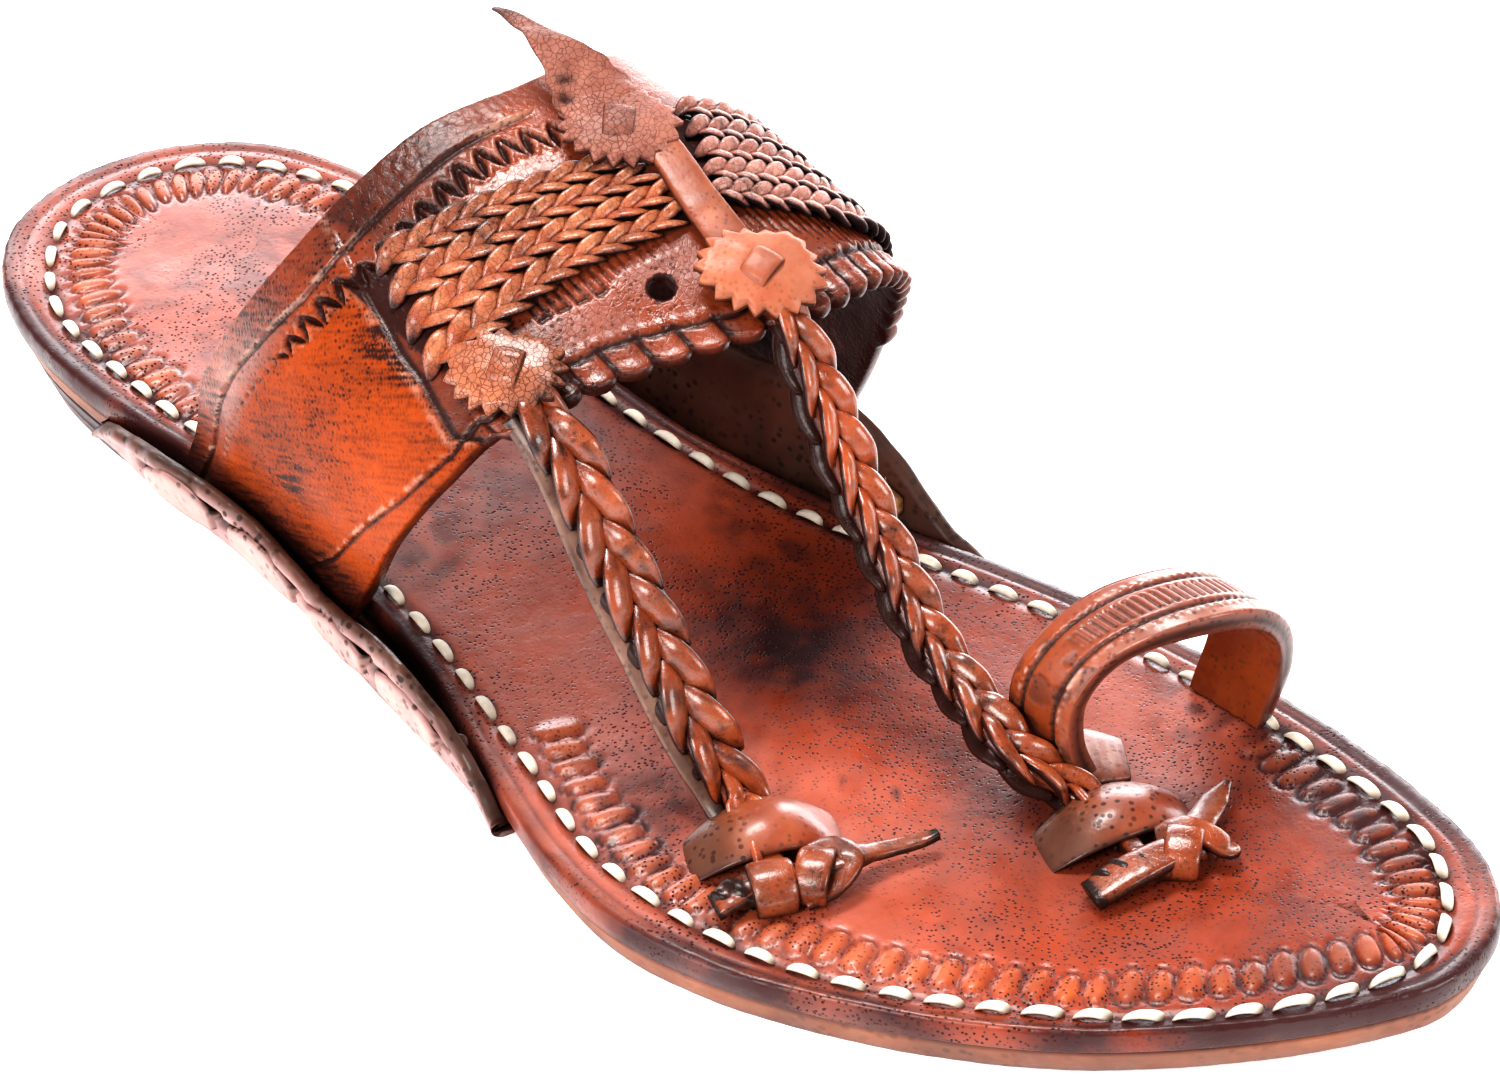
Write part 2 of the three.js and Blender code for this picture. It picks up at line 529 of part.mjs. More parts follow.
// Gear-edged rosettes lying on the band
const ROSETTES = {
  rear: { u: at(7.52), v: 0.7, radius: 7.3, teeth: 18, high: 2.2, flap: true },
  front: { u: at(7.5), v: 0.1, radius: 7.6, teeth: 18, high: 2.6 },
  side: { u: at(4.64), v: 0.11, radius: 6.8, teeth: 16, high: 2.6 },
};
const ROSETTE_T = 1.5, DOME = 0.8;
const TONGUE = [             // at: back from the rosette's middle; up: over the band
  { at: 2.0, aside: 0.3, up: 3.0, half: 4.8 }, { at: 6.0, aside: 0.4, up: 3.9, half: 5.4 },
  { at: 9.0, aside: 0.2, up: 5.2, half: 4.3 }, { at: 12.0, aside: 0, up: 6.5, half: 3.1 },
  { at: 15.0, aside: -0.2, up: 7.2, half: 2.2 }, { at: 18.0, aside: -0.4, up: 7.6, half: 1.4 },
  { at: 21.5, aside: -0.8, up: 7.3, half: 0.9 }, { at: 24.6, aside: -1.2, up: 6.8, half: 0.5 },
];
const TONGUE_T = 1.4;
function rosetteSolid(r) {
  const e = 1e-3;
  const spot = (u, v) => new THREE.Vector3(...band(u, v, 0));
  const lu = spot(r.u + e, r.v).distanceTo(spot(r.u - e, r.v)) / (2 * e);
  const lv = spot(r.u, r.v + e).distanceTo(spot(r.u, r.v - e)) / (2 * e);
  const put = (a, b, h) => band(r.u + a / lu, r.v + b / lv, h);
  const n = r.teeth * 2, verts = [], tris = [], radii = [0, 0.72, 1];
  for (const h of [r.high, r.high + ROSETTE_T]) {
    for (const [k, f] of radii.entries()) {
      if (!k) { verts.push(put(0, 0, h + DOME)); continue; }
      for (let i = 0; i < n; i++) {
        const a = 2 * Math.PI * i / n, rad = r.radius * f * (k === 2 && i % 2 ? 0.87 : 1);
        verts.push(put(rad * Math.cos(a), rad * Math.sin(a), h + DOME * (1 - f * f)));
      }
    }
  }
  const per = 1 + 2 * n, id = (layerIndex, k, i) => layerIndex * per + (k ? 1 + (k - 1) * n + i % n : 0);
  for (let i = 0; i < n; i++) {
    for (const s of [0, 1]) {
      const q = (a, b, c) => tris.push(s ? [a, b, c] : [a, c, b]);
      q(id(s, 0), id(s, 1, i), id(s, 1, i + 1));
      q(id(s, 1, i), id(s, 2, i), id(s, 2, i + 1));
      q(id(s, 1, i), id(s, 2, i + 1), id(s, 1, i + 1));
    }
    tris.push([id(0, 2, i), id(0, 2, i + 1), id(1, 2, i + 1)], [id(0, 2, i), id(1, 2, i + 1), id(1, 2, i)]);
  }
  let s = solid(outward({ verts, tris }));
  if (r.flap) {
    // pointed tongue that runs back over the band's edge and curls up
    const rings = TONGUE.map((t) => {
      const low = t.up - TONGUE_T / 2, top = t.up + TONGUE_T / 2;
      const ring = [[-t.half, low], [t.half, low], [t.half, top], [-t.half, top]];
      return ring.map(([a, h]) => put(t.aside + a, t.at, h));
    });
    s = s.add(solid(loft(rings)));
  }
  return s;
}

// Toe loop: outer face from its outer foot over the toe to its inner foot
const TOE_LOOP = [
  { x: 11.8, back: -61.0, front: -72.5, z: 0 },
  { x: 9.3, back: -60.5, front: -71.6, z: 8.0 },
  { x: 9.3, back: -61.5, front: -72.2, z: 16.5 },
  { x: 13.0, back: -64.0, front: -74.8, z: 23.5 },
  { x: 18.8, back: -67.0, front: -79.2, z: 27.8 },
  { x: 26.0, back: -70.0, front: -82.6, z: 28.6 },
  { x: 33.0, back: -71.5, front: -84.0, z: 26.2 },
  { x: 38.6, back: -71.0, front: -83.6, z: 20.0 },
  { x: 41.2, back: -69.5, front: -82.0, z: 11.0 },
  { x: 40.3, back: -67.0, front: -79.2, z: 0 },
];
function toeLoopSolid() {
  const base = topZ(-70) + GAP;
  const back = new THREE.CatmullRomCurve3(TOE_LOOP.map((r) => new THREE.Vector3(r.x, r.back, r.z + base)));
  const front = new THREE.CatmullRomCurve3(TOE_LOOP.map((r) => new THREE.Vector3(r.x, r.front, r.z + base)));
  const rings = [], n = 30, centre = new THREE.Vector3(26, -72, 22);
  for (let i = 0; i <= n; i++) {
    const f = front.getPoint(i / n), b = back.getPoint(i / n), across = b.clone().sub(f);
    const along = front.getTangent(i / n).add(back.getTangent(i / n)).normalize();
    const normal = new THREE.Vector3().crossVectors(along, across).normalize();
    if (normal.dot(f.clone().sub(centre)) < 0) normal.negate();
    if (i === 0 || i === n) { normal.z = 0; normal.normalize(); }
    const p = (v, h) => f.clone().lerp(b, v).addScaledVector(normal, h).toArray();
    rings.push([
      p(0, -LOOP_WALL), p(1, -LOOP_WALL), p(1, -0.5), p(0.96, 0), p(0.5, 0.35), p(0.04, 0), p(0, -0.5),
    ]);
  }
  // outer foot folded in under the toe
  const tab = [[11.8, -61.4, -71.6, 3.4], [15.5, -63.5, -74.6, 3.2], [19.4, -67.0, -77.0, 1.6]];
  const foot = tab.map(([x, b, f, t]) =>
    [[x, f, base], [x, b, base], [x, b, base + t], [x, f, base + t]]);
  return solid(loft(rings)).add(solid(loft(foot)));
}

// Assembly
const under1 = (y) => topZ(y) - INSOLE - GAP;             // outsole's top
const under2 = (y) => under1(y) - OUTSOLE;                // outsole's underside
const under3 = (y) => under2(y) - GAP;                    // wedge's top
const half = (y) => Math.max(under3(y) - GAP, 0) * 0.52;  // lift's top
const HEEL_FRONT = 17;

const insoleBody = solid(layer([
  { inset: 0.5, z: (y) => topZ(y) - INSOLE }, { inset: 0, z: (y) => topZ(y) - INSOLE + 1 },
  { inset: 0, z: (y) => topZ(y) - 1 }, { inset: 0.9, z: topZ },
]));
const bridges = bridgeSolid(BRIDGES.lateral).add(bridgeSolid(BRIDGES.medial));
piece('insole', insoleBody.add(bridges), RED_BROWN, 0.45);

const outsoleBody = solid(layer([
  { inset: 2.0, z: under2 }, { inset: 0.8, z: (y) => under1(y) - 0.6 }, { inset: 1.1, z: under1 },
]));
piece('outsole', outsoleBody.subtract(recess(EARS.lateral)).subtract(recess(EARS.medial)), RED_BROWN, 0.5);
const wedgeLevels = [{ inset: 3.2, z: (y) => half(y) + GAP }, { inset: 2.1, z: under3 }];
piece('heel_wedge', layer(wedgeLevels, HEEL_FRONT, 26), DARK, 0.55);
piece('heel_lift', layer([{ inset: 4.6, z: () => 0 }, { inset: 3.4, z: half }], HEEL_FRONT, 26), DARK, 0.6);

for (const name of ['lateral', 'medial']) {
  const ear = EARS[name], weave = WEAVE[name];
  piece(`${name}_ear`, earSolid(ear).subtract(thongSolid(ear, weave, THONG.room)), DARK, 0.5);
  piece(`${name}_ear_thong`, thongSolid(ear, weave), TAN, 0.6);
}

const onBand = (u, v, h) => {
  const p = band(u, v, h), q = band(u, v, h + 1);
  return [...p, q[0] - p[0], q[1] - p[1], q[2] - p[2]];
};
const L = BRIDGES.lateral, M = BRIDGES.medial, R = ROSETTES;
const taper = (wide, thick) => [
  { at: 0, wide: wide, thick: 2.2, plait: 0 }, { at: 0.1, wide: wide, thick: 2.4, plait: 0.2 },
  { at: 0.2, wide, thick, plait: 1 }, { at: 0.7, wide, thick, plait: 1 },
  { at: 0.79, wide: wide * 0.8, thick: 2.6, plait: 0.3 },
  { at: 0.88, wide: wide * 0.76, thick: 2.2, plait: 0 },
  { at: 1, wide: wide * 0.76, thick: 2.4, plait: 0 },
];
const lateralStrap = strapSolid([
  onBand(R.side.u, 0.22, 0.6), onBand(R.side.u, 0.06, 0.9), [-24.1, -12.0, 52.5, -0.35, -0.7, 0.62],
  [-24.4, -19.0, 43.0, -0.35, -0.7, 0.62], [-24.7, -28.5, 31.6, -0.35, -0.7, 0.62],
  [-24.9, -36.6, 21.0, -0.3, -0.7, 0.65], [...under(L, -1.2, -6.8, 2.7), -0.1, -0.3, 1],
  [...under(L, -0.4, 0, 1.6), 0, 0, 1], [...under(L, 0, 8, 2.4), 0, 0, 1],
], taper(PLAIT, PLAIT_T), 8.6, 0);
const medialStrap = strapSolid([
  onBand(R.front.u, 0.18, 0.6), onBand(R.front.u, 0.03, 0.9), [9.3, -24.6, 52.5, 0, -0.75, 0.66],
  [8.5, -32.8, 40.4, 0, -0.75, 0.66], [7.4, -40.6, 32.0, 0, -0.7, 0.7], [6.2, -48.8, 24.6, 0, -0.6, 0.8],
  [4.9, -59.0, 20.0, 0, -0.45, 0.9], [4.3, -66.5, 17.2, 0, -0.4, 0.9],
  [...under(M, -3.3, -7.0, 2.7), 0, 0, 1],
  [...under(M, -0.8, 0, 1.5), 0, 0, 1], [...under(M, 0, 8, 2.4), 0, 0, 1],
], taper(PLAIT_IN, PLAIT_IN_T), 7.6, 0.3);

const lateralTail = tailSolid([
  under(L, 5, 9.2, 3.9), under(L, 10, 8.4, 3.4), under(L, 15, 7.2, 2.4), under(L, 21.5, 6.6, 2.6),
], 5, 1.8);
const medialTail = tailSolid([
  under(M, 3.6, 9.6, 3.6), under(M, 7.6, 7.4, 2.8), under(M, 11.6, 3.6, 1.9), under(M, 16.4, -1.6, 1.7),
], 6, 1.6);

const HOLES = [[at(6.65), 0.195], [at(8.05), 0.19]], HOLE_R = 2.3;
const holeAt = (u, v) => {
  const p = new THREE.Vector3(...band(u, v, 0)), q = new THREE.Vector3(...band(u, v, 5)).sub(p).normalize();
  const turn = new THREE.Quaternion().setFromUnitVectors(new THREE.Vector3(0, 1, 0), q);
  const m = new THREE.Matrix4().compose(p, turn, new THREE.Vector3(1, 1, 1));
  return fromGeometry(new THREE.CylinderGeometry(HOLE_R, HOLE_R, 14, 10), m);
};
piece('upper', bandSolid().subtract(holeAt(...HOLES[0])).subtract(holeAt(...HOLES[1]))
  .add(lateralStrap).add(medialStrap)
  .add(knotSolid(L, lateralTail)).add(knotSolid(M, medialTail)), ORANGE, 0.35);
piece('rear_rosette', rosetteSolid(R.rear), ORANGE, 0.4);
piece('front_rosette', rosetteSolid(R.front), ORANGE, 0.4);
piece('side_rosette', rosetteSolid(R.side), ORANGE, 0.4);
piece('toe_loop', toeLoopSolid(), ORANGE, 0.35);

// The origin is under the middle of the whole shoe
const box = new THREE.Box3().setFromObject(group);
group.position.set(-(box.min.x + box.max.x) / 2, -(box.min.y + box.max.y) / 2, -box.min.z);

export default group;
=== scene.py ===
import bpy
import bmesh
import math
import numpy as np
from mathutils import Matrix, Vector


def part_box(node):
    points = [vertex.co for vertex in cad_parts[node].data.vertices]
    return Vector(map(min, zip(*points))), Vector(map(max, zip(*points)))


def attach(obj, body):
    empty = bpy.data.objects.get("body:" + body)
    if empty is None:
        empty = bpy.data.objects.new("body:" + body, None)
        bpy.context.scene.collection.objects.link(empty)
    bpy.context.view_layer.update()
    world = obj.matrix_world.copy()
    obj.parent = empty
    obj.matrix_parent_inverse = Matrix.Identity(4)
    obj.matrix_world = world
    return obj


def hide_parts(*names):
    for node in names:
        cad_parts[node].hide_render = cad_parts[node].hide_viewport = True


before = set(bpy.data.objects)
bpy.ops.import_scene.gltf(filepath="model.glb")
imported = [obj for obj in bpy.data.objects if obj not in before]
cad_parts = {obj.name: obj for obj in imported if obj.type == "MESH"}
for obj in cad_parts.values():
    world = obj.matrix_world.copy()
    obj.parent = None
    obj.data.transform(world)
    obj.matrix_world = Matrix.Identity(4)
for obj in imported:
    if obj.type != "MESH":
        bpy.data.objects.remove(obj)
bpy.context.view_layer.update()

# The studio: a white room, a pale floor, one soft light overhead and five round the shoe. The camera
# looks down on the outer side of the toe, as a catalogue picture of a right shoe does. Sizes are
# millimetres on the sole's own drawing, with the heel at +Y and the inner side of the foot at +X.
MM = 0.001
LIFT_DRAWN = (-0.345, 72.011)        # middle of the heel lift on that drawing
lift_low, lift_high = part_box("heel_lift")
ORIGIN = np.array([(lift_low.x + lift_high.x) / 2 / MM - LIFT_DRAWN[0],
                   (lift_low.y + lift_high.y) / 2 / MM - LIFT_DRAWN[1], 0.0])


def to_frame(points):
    return (np.asarray(points, float) + ORIGIN) * MM


AZIMUTH, ELEVATION, ROLL = math.radians(-41.421), math.radians(38.464), math.radians(-2.417)
DISTANCE, AIM = 805.624, (12.271, -6.216, 15.0)
SENSOR, LENS = 36.0, 138.525

back = Vector((math.sin(AZIMUTH) * math.cos(ELEVATION), -math.cos(AZIMUTH) * math.cos(ELEVATION),
               math.sin(ELEVATION)))
right = (-back).cross(Vector((0, 0, 1))).normalized()
up = right.cross(-back)
right, up = (math.cos(ROLL) * right + math.sin(ROLL) * up, math.cos(ROLL) * up - math.sin(ROLL) * right)
camera = bpy.data.objects.new("camera", bpy.data.cameras.new("camera"))
camera.data.sensor_width, camera.data.lens = SENSOR, LENS
camera.data.clip_start, camera.data.clip_end = 0.05, 20.0
camera.matrix_world = Matrix.Translation(Vector(to_frame(AIM)) + back * DISTANCE * MM) @ Matrix(
    (right, up, back)).transposed().to_4x4()
bpy.context.scene.collection.objects.link(camera)
bpy.context.scene.camera = camera


LIGHTS = [    # name, sides in metres, watts, place, aim, colour
    ("overhead", (0.30, 0.20), 5.6, (60, 160, 700), (0, 0, 20), (1.0, 0.98, 0.96)),
    ("behind", (0.9, 0.30), 7.0, (480, 620, 330), (0, 0, 20), (0.93, 0.95, 1.0)),
    ("front_left", (0.22, 0.22), 3.0, (-520, -160, 420), (-10, 10, 40), (1.0, 0.95, 0.9)),
    ("toe_side", (0.25, 0.15), 1.6, (120, -560, 260), (10, -60, 20), (1.0, 0.96, 0.93)),
    ("left_low", (0.35, 0.20), 1.6, (-620, 120, 130), (-45, 30, 12), (1.0, 0.95, 0.98)),
    ("right_low", (0.8, 0.22), 4.2, (640, 140, 130), (20, 10, 40), (1.0, 0.98, 1.0))]
for name, size, power, place, aim, colour in LIGHTS:
    lamp = bpy.data.objects.new(name, bpy.data.lights.new(name, "AREA"))
    lamp.data.shape, lamp.data.size, lamp.data.size_y = "RECTANGLE", size[0], size[1]
    lamp.data.energy, lamp.data.color = power, colour
    where, target = Vector(to_frame(place)), Vector(to_frame(aim))
    facing = (where - target).to_track_quat("Z", "Y").to_matrix().to_4x4()
    lamp.matrix_world = Matrix.Translation(where) @ facing
    bpy.context.scene.collection.objects.link(lamp)

ROOM_TINT, ROOM_STRENGTH = (0.92, 0.95, 1.0, 1), 0.24
SEEN_TINT, SEEN_STRENGTH = (1, 1, 1, 1), 1.3         # what the camera sees of the room
world = bpy.data.worlds.new("white_room")
bpy.context.scene.world = world
world.use_nodes = True
wn, wl = world.node_tree.nodes, world.node_tree.links
wn.clear()
ray, both, out = (wn.new("ShaderNode" + kind) for kind in ("LightPath", "MixShader", "OutputWorld"))
wl.new(ray.outputs["Is Camera Ray"], both.inputs[0])
for i, (tint, strength) in enumerate(((ROOM_TINT, ROOM_STRENGTH), (SEEN_TINT, SEEN_STRENGTH))):
    room = wn.new("ShaderNodeBackground")
    room.inputs["Color"].default_value, room.inputs["Strength"].default_value = tint, strength
    wl.new(room.outputs[0], both.inputs[i + 1])
wl.new(both.outputs[0], out.inputs["Surface"])
bpy.context.scene.view_settings.view_transform = "Standard"
bpy.context.scene.view_settings.look = "Medium High Contrast"

FLOOR_HALF = 4.0
bm = bmesh.new()
bmesh.ops.create_grid(bm, x_segments=1, y_segments=1, size=FLOOR_HALF)
floor_mesh = bpy.data.meshes.new("floor")
bm.to_mesh(floor_mesh)
bm.free()
floor = bpy.data.objects.new("floor", floor_mesh)
bpy.context.scene.collection.objects.link(floor)
floor_paint = bpy.data.materials.new("pale_floor")
floor_paint.use_nodes = True
floor_skin = floor_paint.node_tree.nodes["Principled BSDF"]
for name, value in (("Base Color", (0.95, 0.95, 0.96, 1)), ("Roughness", 0.9), ("Specular IOR Level", 0.1),
                    ("Emission Color", (1, 1, 1, 1)), ("Emission Strength", 0.45)):
    floor_skin.inputs[name].default_value = value
floor_mesh.materials.append(floor_paint)


# The sole: four layers of vegetable-tanned leather of one outline, glued and sewn. The top layer is
# the insole, thick and antiqued, with a rough dark cut edge. A wedge and a lift make the low heel.
LENGTH, BALL, HEEL_Y = 264.4, 94.0, 131.6
INSOLE, OUTSOLE, SEAT = 4.2, 4.3, 0.3
HEEL_RISE, TOE_SPRING = 7.3, 2.7
OUTLINE = [    # share of the length from the heel, and of the ball width to the outer and inner side
    (0.047, 0.250, 0.266), (0.096, 0.309, 0.324), (0.153, 0.335, 0.340), (0.210, 0.338, 0.324),
    (0.267, 0.324, 0.298), (0.324, 0.318, 0.281), (0.381, 0.325, 0.279), (0.438, 0.349, 0.296),
    (0.495, 0.389, 0.332), (0.552, 0.451, 0.377), (0.610, 0.502, 0.417), (0.667, 0.524, 0.451),
    (0.724, 0.497, 0.474), (0.781, 0.436, 0.483), (0.838, 0.352, 0.479), (0.895, 0.237, 0.457),
    (0.952, 0.066, 0.404)]
ROUND_HEEL = [(0.0125, -0.149), (0.0, 0.0), (0.0145, 0.16)]
ROUND_TOE = [(0.989, 0.309), (1.0, 0.181), (0.986, 0.078)]
# the last is how far the darkening mask, antique brown and painted shade alike, dulls the gloss
SHEEN, COAT_ROUGH, SHADE_AND_PATINA_DULL = 0.42, 0.2, 0.85
GRAIN_DEEP = 0.0004                  # metres of relief in the finish's grain


# The finish of the insole and of all later leather: dyed and antiqued hide, brown in its hollows,
# rubbed lighter on what stands up, with pores and a fine crackle. A piece carries two masks, worked
# out from its tooling and shape: one darkens to the antique colour, both for the brown of the tooling
# and as painted shade under, inside and between parts; "rubbed" marks wear. It has its own colours
# and scales.
def leather_group():
    """Node group: antiqued leather's colour, roughness and height from masks and noise."""
    g = bpy.data.node_groups.new("antiqued_leather", "ShaderNodeTree")
    for name, value in (
            ("Dye", (0.4, 0.1, 0.03, 1)), ("Antique", (0.05, 0.02, 0.01, 1)), ("Worn", (0.6, 0.3, 0.12, 1)),
            ("Shade_and_patina", 0.0), ("Rubbed", 0.0), ("Cloud size", 30.0), ("Cloud", 0.5), ("Pore size", 900.0),
            ("Pores", 0.3), ("Crackle size", 500.0), ("Crackle", 0.0), ("Gloss", 0.35)):
        kind = "NodeSocketFloat" if isinstance(value, float) else "NodeSocketColor"
        g.interface.new_socket(name=name, in_out="INPUT", socket_type=kind).default_value = value
    for name in ("Color", "Roughness", "Height", "Dull"):
        kind = "NodeSocketColor" if name == "Color" else "NodeSocketFloat"
        g.interface.new_socket(name=name, in_out="OUTPUT", socket_type=kind)
    n, l = g.nodes, g.links
    given, result = n.new("NodeGroupInput"), n.new("NodeGroupOutput")
    place = n.new("ShaderNodeTexCoord")

    def noise(scale, detail):
        t = n.new("ShaderNodeTexNoise")
        t.inputs["Detail"].default_value, t.inputs["Roughness"].default_value = detail, 0.55
        l.new(place.outputs["Object"], t.inputs["Vector"])
        if isinstance(scale, str):
            l.new(given.outputs[scale], t.inputs["Scale"])
        else:
            t.inputs["Scale"].default_value = scale
        return t.outputs["Fac"]

    def math_node(op, a, b=None, clamp=False):
        m = n.new("ShaderNodeMath")
        m.operation, m.use_clamp = op, clamp
        for i, x in enumerate((a, b)):
            if x is None:
                continue
            if isinstance(x, (int, float)):
                m.inputs[i].default_value = x
            else:
                l.new(x, m.inputs[i])
        return m.outputs[0]

    def mix(factor, a, b):
        m = n.new("ShaderNodeMix")
        m.data_type, m.clamp_factor = "RGBA", True
        l.new(factor, m.inputs[0])
        l.new(a, m.inputs[6])
        l.new(b, m.inputs[7])
        return m.outputs[2]

    def span(x, low, high):
        r = n.new("ShaderNodeMapRange")
        r.inputs["From Min"].default_value, r.inputs["From Max"].default_value = low, high
        l.new(x, r.inputs["Value"])
        return r.outputs[0]

    cloud = span(noise("Cloud size", 4.0), 0.36, 0.68)
    fine = span(noise(420.0, 3.0), 0.3, 0.7)
    pores = n.new("ShaderNodeTexVoronoi")
    l.new(place.outputs["Object"], pores.inputs["Vector"])
    l.new(given.outputs["Pore size"], pores.inputs["Scale"])
    pit = math_node("SUBTRACT", 1.0, span(pores.outputs["Distance"], 0.22, 0.36))
    pit = math_node("MULTIPLY", pit, span(noise(70.0, 2.0), 0.34, 0.56))
    cracks = n.new("ShaderNodeTexVoronoi")
    cracks.feature = "DISTANCE_TO_EDGE"
    l.new(place.outputs["Object"], cracks.inputs["Vector"])
    l.new(given.outputs["Crackle size"], cracks.inputs["Scale"])
    crack = math_node("SUBTRACT", 1.0, span(cracks.outputs["Distance"], 0.0, 0.08))
    crack = math_node("MULTIPLY", crack, given.outputs["Crackle"])
    pit = math_node("MULTIPLY", pit, given.outputs["Pores"])

    dark = math_node("MULTIPLY", cloud, given.outputs["Cloud"])
    dark = math_node("ADD", dark, math_node("MULTIPLY", pit, 0.8))
    dark = math_node("ADD", dark, math_node("MULTIPLY", crack, 0.75))
    dark = math_node("ADD", dark, math_node("MULTIPLY", fine, 0.12))
    # the first mask darkens to the antique colour, for the brown of tooled hollows and for painted shade
    dark = math_node("ADD", dark, given.outputs["Shade_and_patina"], True)
    worn = math_node("MULTIPLY", given.outputs["Rubbed"], span(noise(260.0, 4.0), 0.25, 0.6))
    worn = math_node("SUBTRACT", worn, math_node("MULTIPLY", crack, 0.6), True)
    colour = mix(worn, given.outputs["Dye"], given.outputs["Worn"])
    colour = mix(dark, colour, given.outputs["Antique"])
    l.new(colour, result.inputs["Color"])
    patches = math_node("MULTIPLY", span(noise(190.0, 3.0), 0.3, 0.7), 0.22)
    rough = math_node("ADD", given.outputs["Gloss"], patches)
    rough = math_node("ADD", rough, math_node("MULTIPLY", worn, 0.14), True)
    l.new(rough, result.inputs["Roughness"])
    grain = math_node("MULTIPLY", noise(1500.0, 2.0), 0.2)
    height = math_node("ADD", math_node("MULTIPLY", fine, 0.25), grain)
    height = math_node("SUBTRACT", height, math_node("MULTIPLY", pit, 0.25))
    height = math_node("SUBTRACT", height, crack)
    l.new(height, result.inputs["Height"])
    l.new(math_node("ADD", pit, crack, True), result.inputs["Dull"])
    return g


LEATHER = leather_group()


def math_of(material, operation, a, b):
    """A clamped math node of a material, from two outputs or numbers."""
    node = material.node_tree.nodes.new("ShaderNodeMath")
    node.operation, node.use_clamp = operation, True
    for i, x in enumerate((a, b)):
        if isinstance(x, float):
            node.inputs[i].default_value = x
        else:
            material.node_tree.links.new(x, node.inputs[i])
    return node.outputs[0]


def leather(name, dye, patina_and_shade_colour, worn, bump, coat, tint=None, matte=0.0, **values):
    """A leather material: dye, antique, worn and tint are linear colours, the rest the group's values."""
    # the antique colour is the brown of tooled hollows and also the colour of painted shade
    m = bpy.data.materials.new(name)
    m.use_nodes = True
    n, l = m.node_tree.nodes, m.node_tree.links
    skin = n["Principled BSDF"]
    g = n.new("ShaderNodeGroup")
    g.node_tree = LEATHER
    for key, colour in (("Dye", dye), ("Antique", patina_and_shade_colour), ("Worn", worn)):
        g.inputs[key].default_value = (*colour, 1)
    for key, value in values.items():
        g.inputs[key.replace("_", " ").capitalize()].default_value = value
    made = {}
    for mask in ("shade_and_patina", "rubbed"):
        made[mask] = n.new("ShaderNodeAttribute")
        made[mask].attribute_name = mask
        l.new(made[mask].outputs["Fac"], g.inputs[mask.capitalize()])
    if tint:
        where, blend = n.new("ShaderNodeAttribute"), n.new("ShaderNodeMix")
        where.attribute_name = "tint"
        blend.data_type = "RGBA"
        blend.inputs[6].default_value, blend.inputs[7].default_value = (*dye, 1), (*tint, 1)
        l.new(where.outputs["Fac"], blend.inputs[0])
        l.new(blend.outputs[2], g.inputs["Dye"])
    relief = n.new("ShaderNodeBump")
    relief.inputs["Strength"].default_value = bump
    relief.inputs["Distance"].default_value = GRAIN_DEEP
    l.new(g.outputs["Height"], relief.inputs["Height"])
    l.new(relief.outputs["Normal"], skin.inputs["Normal"])
    l.new(g.outputs["Color"], skin.inputs["Base Color"])
    l.new(g.outputs["Roughness"], skin.inputs["Roughness"])
    # the antique dirt of the hollows and the painted shade are dull, and so is brushed leather where the
    # tint is
    dull = math_of(m, "MULTIPLY", made["shade_and_patina"].outputs["Fac"], SHADE_AND_PATINA_DULL)
    dull = math_of(m, "MAXIMUM", dull, g.outputs["Dull"])
    if tint and matte:
        dull = math_of(m, "MAXIMUM", dull, math_of(m, "MULTIPLY", where.outputs["Fac"], matte))
    bright = math_of(m, "SUBTRACT", 1.0, dull)
    l.new(math_of(m, "MULTIPLY", bright, SHEEN), skin.inputs["Specular IOR Level"])
    if coat:
        l.new(math_of(m, "MULTIPLY", bright, coat), skin.inputs["Coat Weight"])
    skin.inputs["Coat Roughness"].default_value = COAT_ROUGH
    return m


def smooth(a, b, x):
    t = np.clip((np.asarray(x, float) - a) / (b - a), 0, 1)
    return t * t * (3 - 2 * t)


def bump_at(x, middle, width):
    """1 at the middle, falling to 0 over about the width on each side."""
    return np.exp(-((np.asarray(x, float) - middle) / width) ** 2)


def curve(points, t, closed=False):
    """Centripetal curve through points, the form that the solids' outlines follow."""
    p, t = np.asarray(points, float), np.asarray(t, float)
    n = len(p)
    q = (n if closed else n - 1) * t
    i = np.floor(q).astype(int)
    w = q - i
    if closed:
        i = i % n
        a, b, c, d = p[(i - 1) % n], p[i], p[(i + 1) % n], p[(i + 2) % n]
    else:
        w = np.where(i >= n - 1, 1.0, w)
        i = np.clip(i, 0, n - 2)
        e = np.vstack([2 * p[0] - p[1], p, 2 * p[-1] - p[-2]])
        a, b, c, d = e[i], e[i + 1], e[i + 2], e[i + 3]
    k1, k2, k3 = (np.maximum(((y - x) ** 2).sum(-1) ** 0.25, 1e-4)[..., None]
                  for x, y in ((a, b), (b, c), (c, d)))
    m1 = ((b - a) / k1 - (c - a) / (k1 + k2) + (c - b) / k2) * k2
    m2 = ((c - b) / k2 - (d - b) / (k2 + k3) + (d - c) / k3) * k2
    w = w[..., None]
    return b + m1 * w + (-3 * b + 3 * c - 2 * m1 - m2) * w ** 2 + (2 * b - 2 * c + m1 + m2) * w ** 3


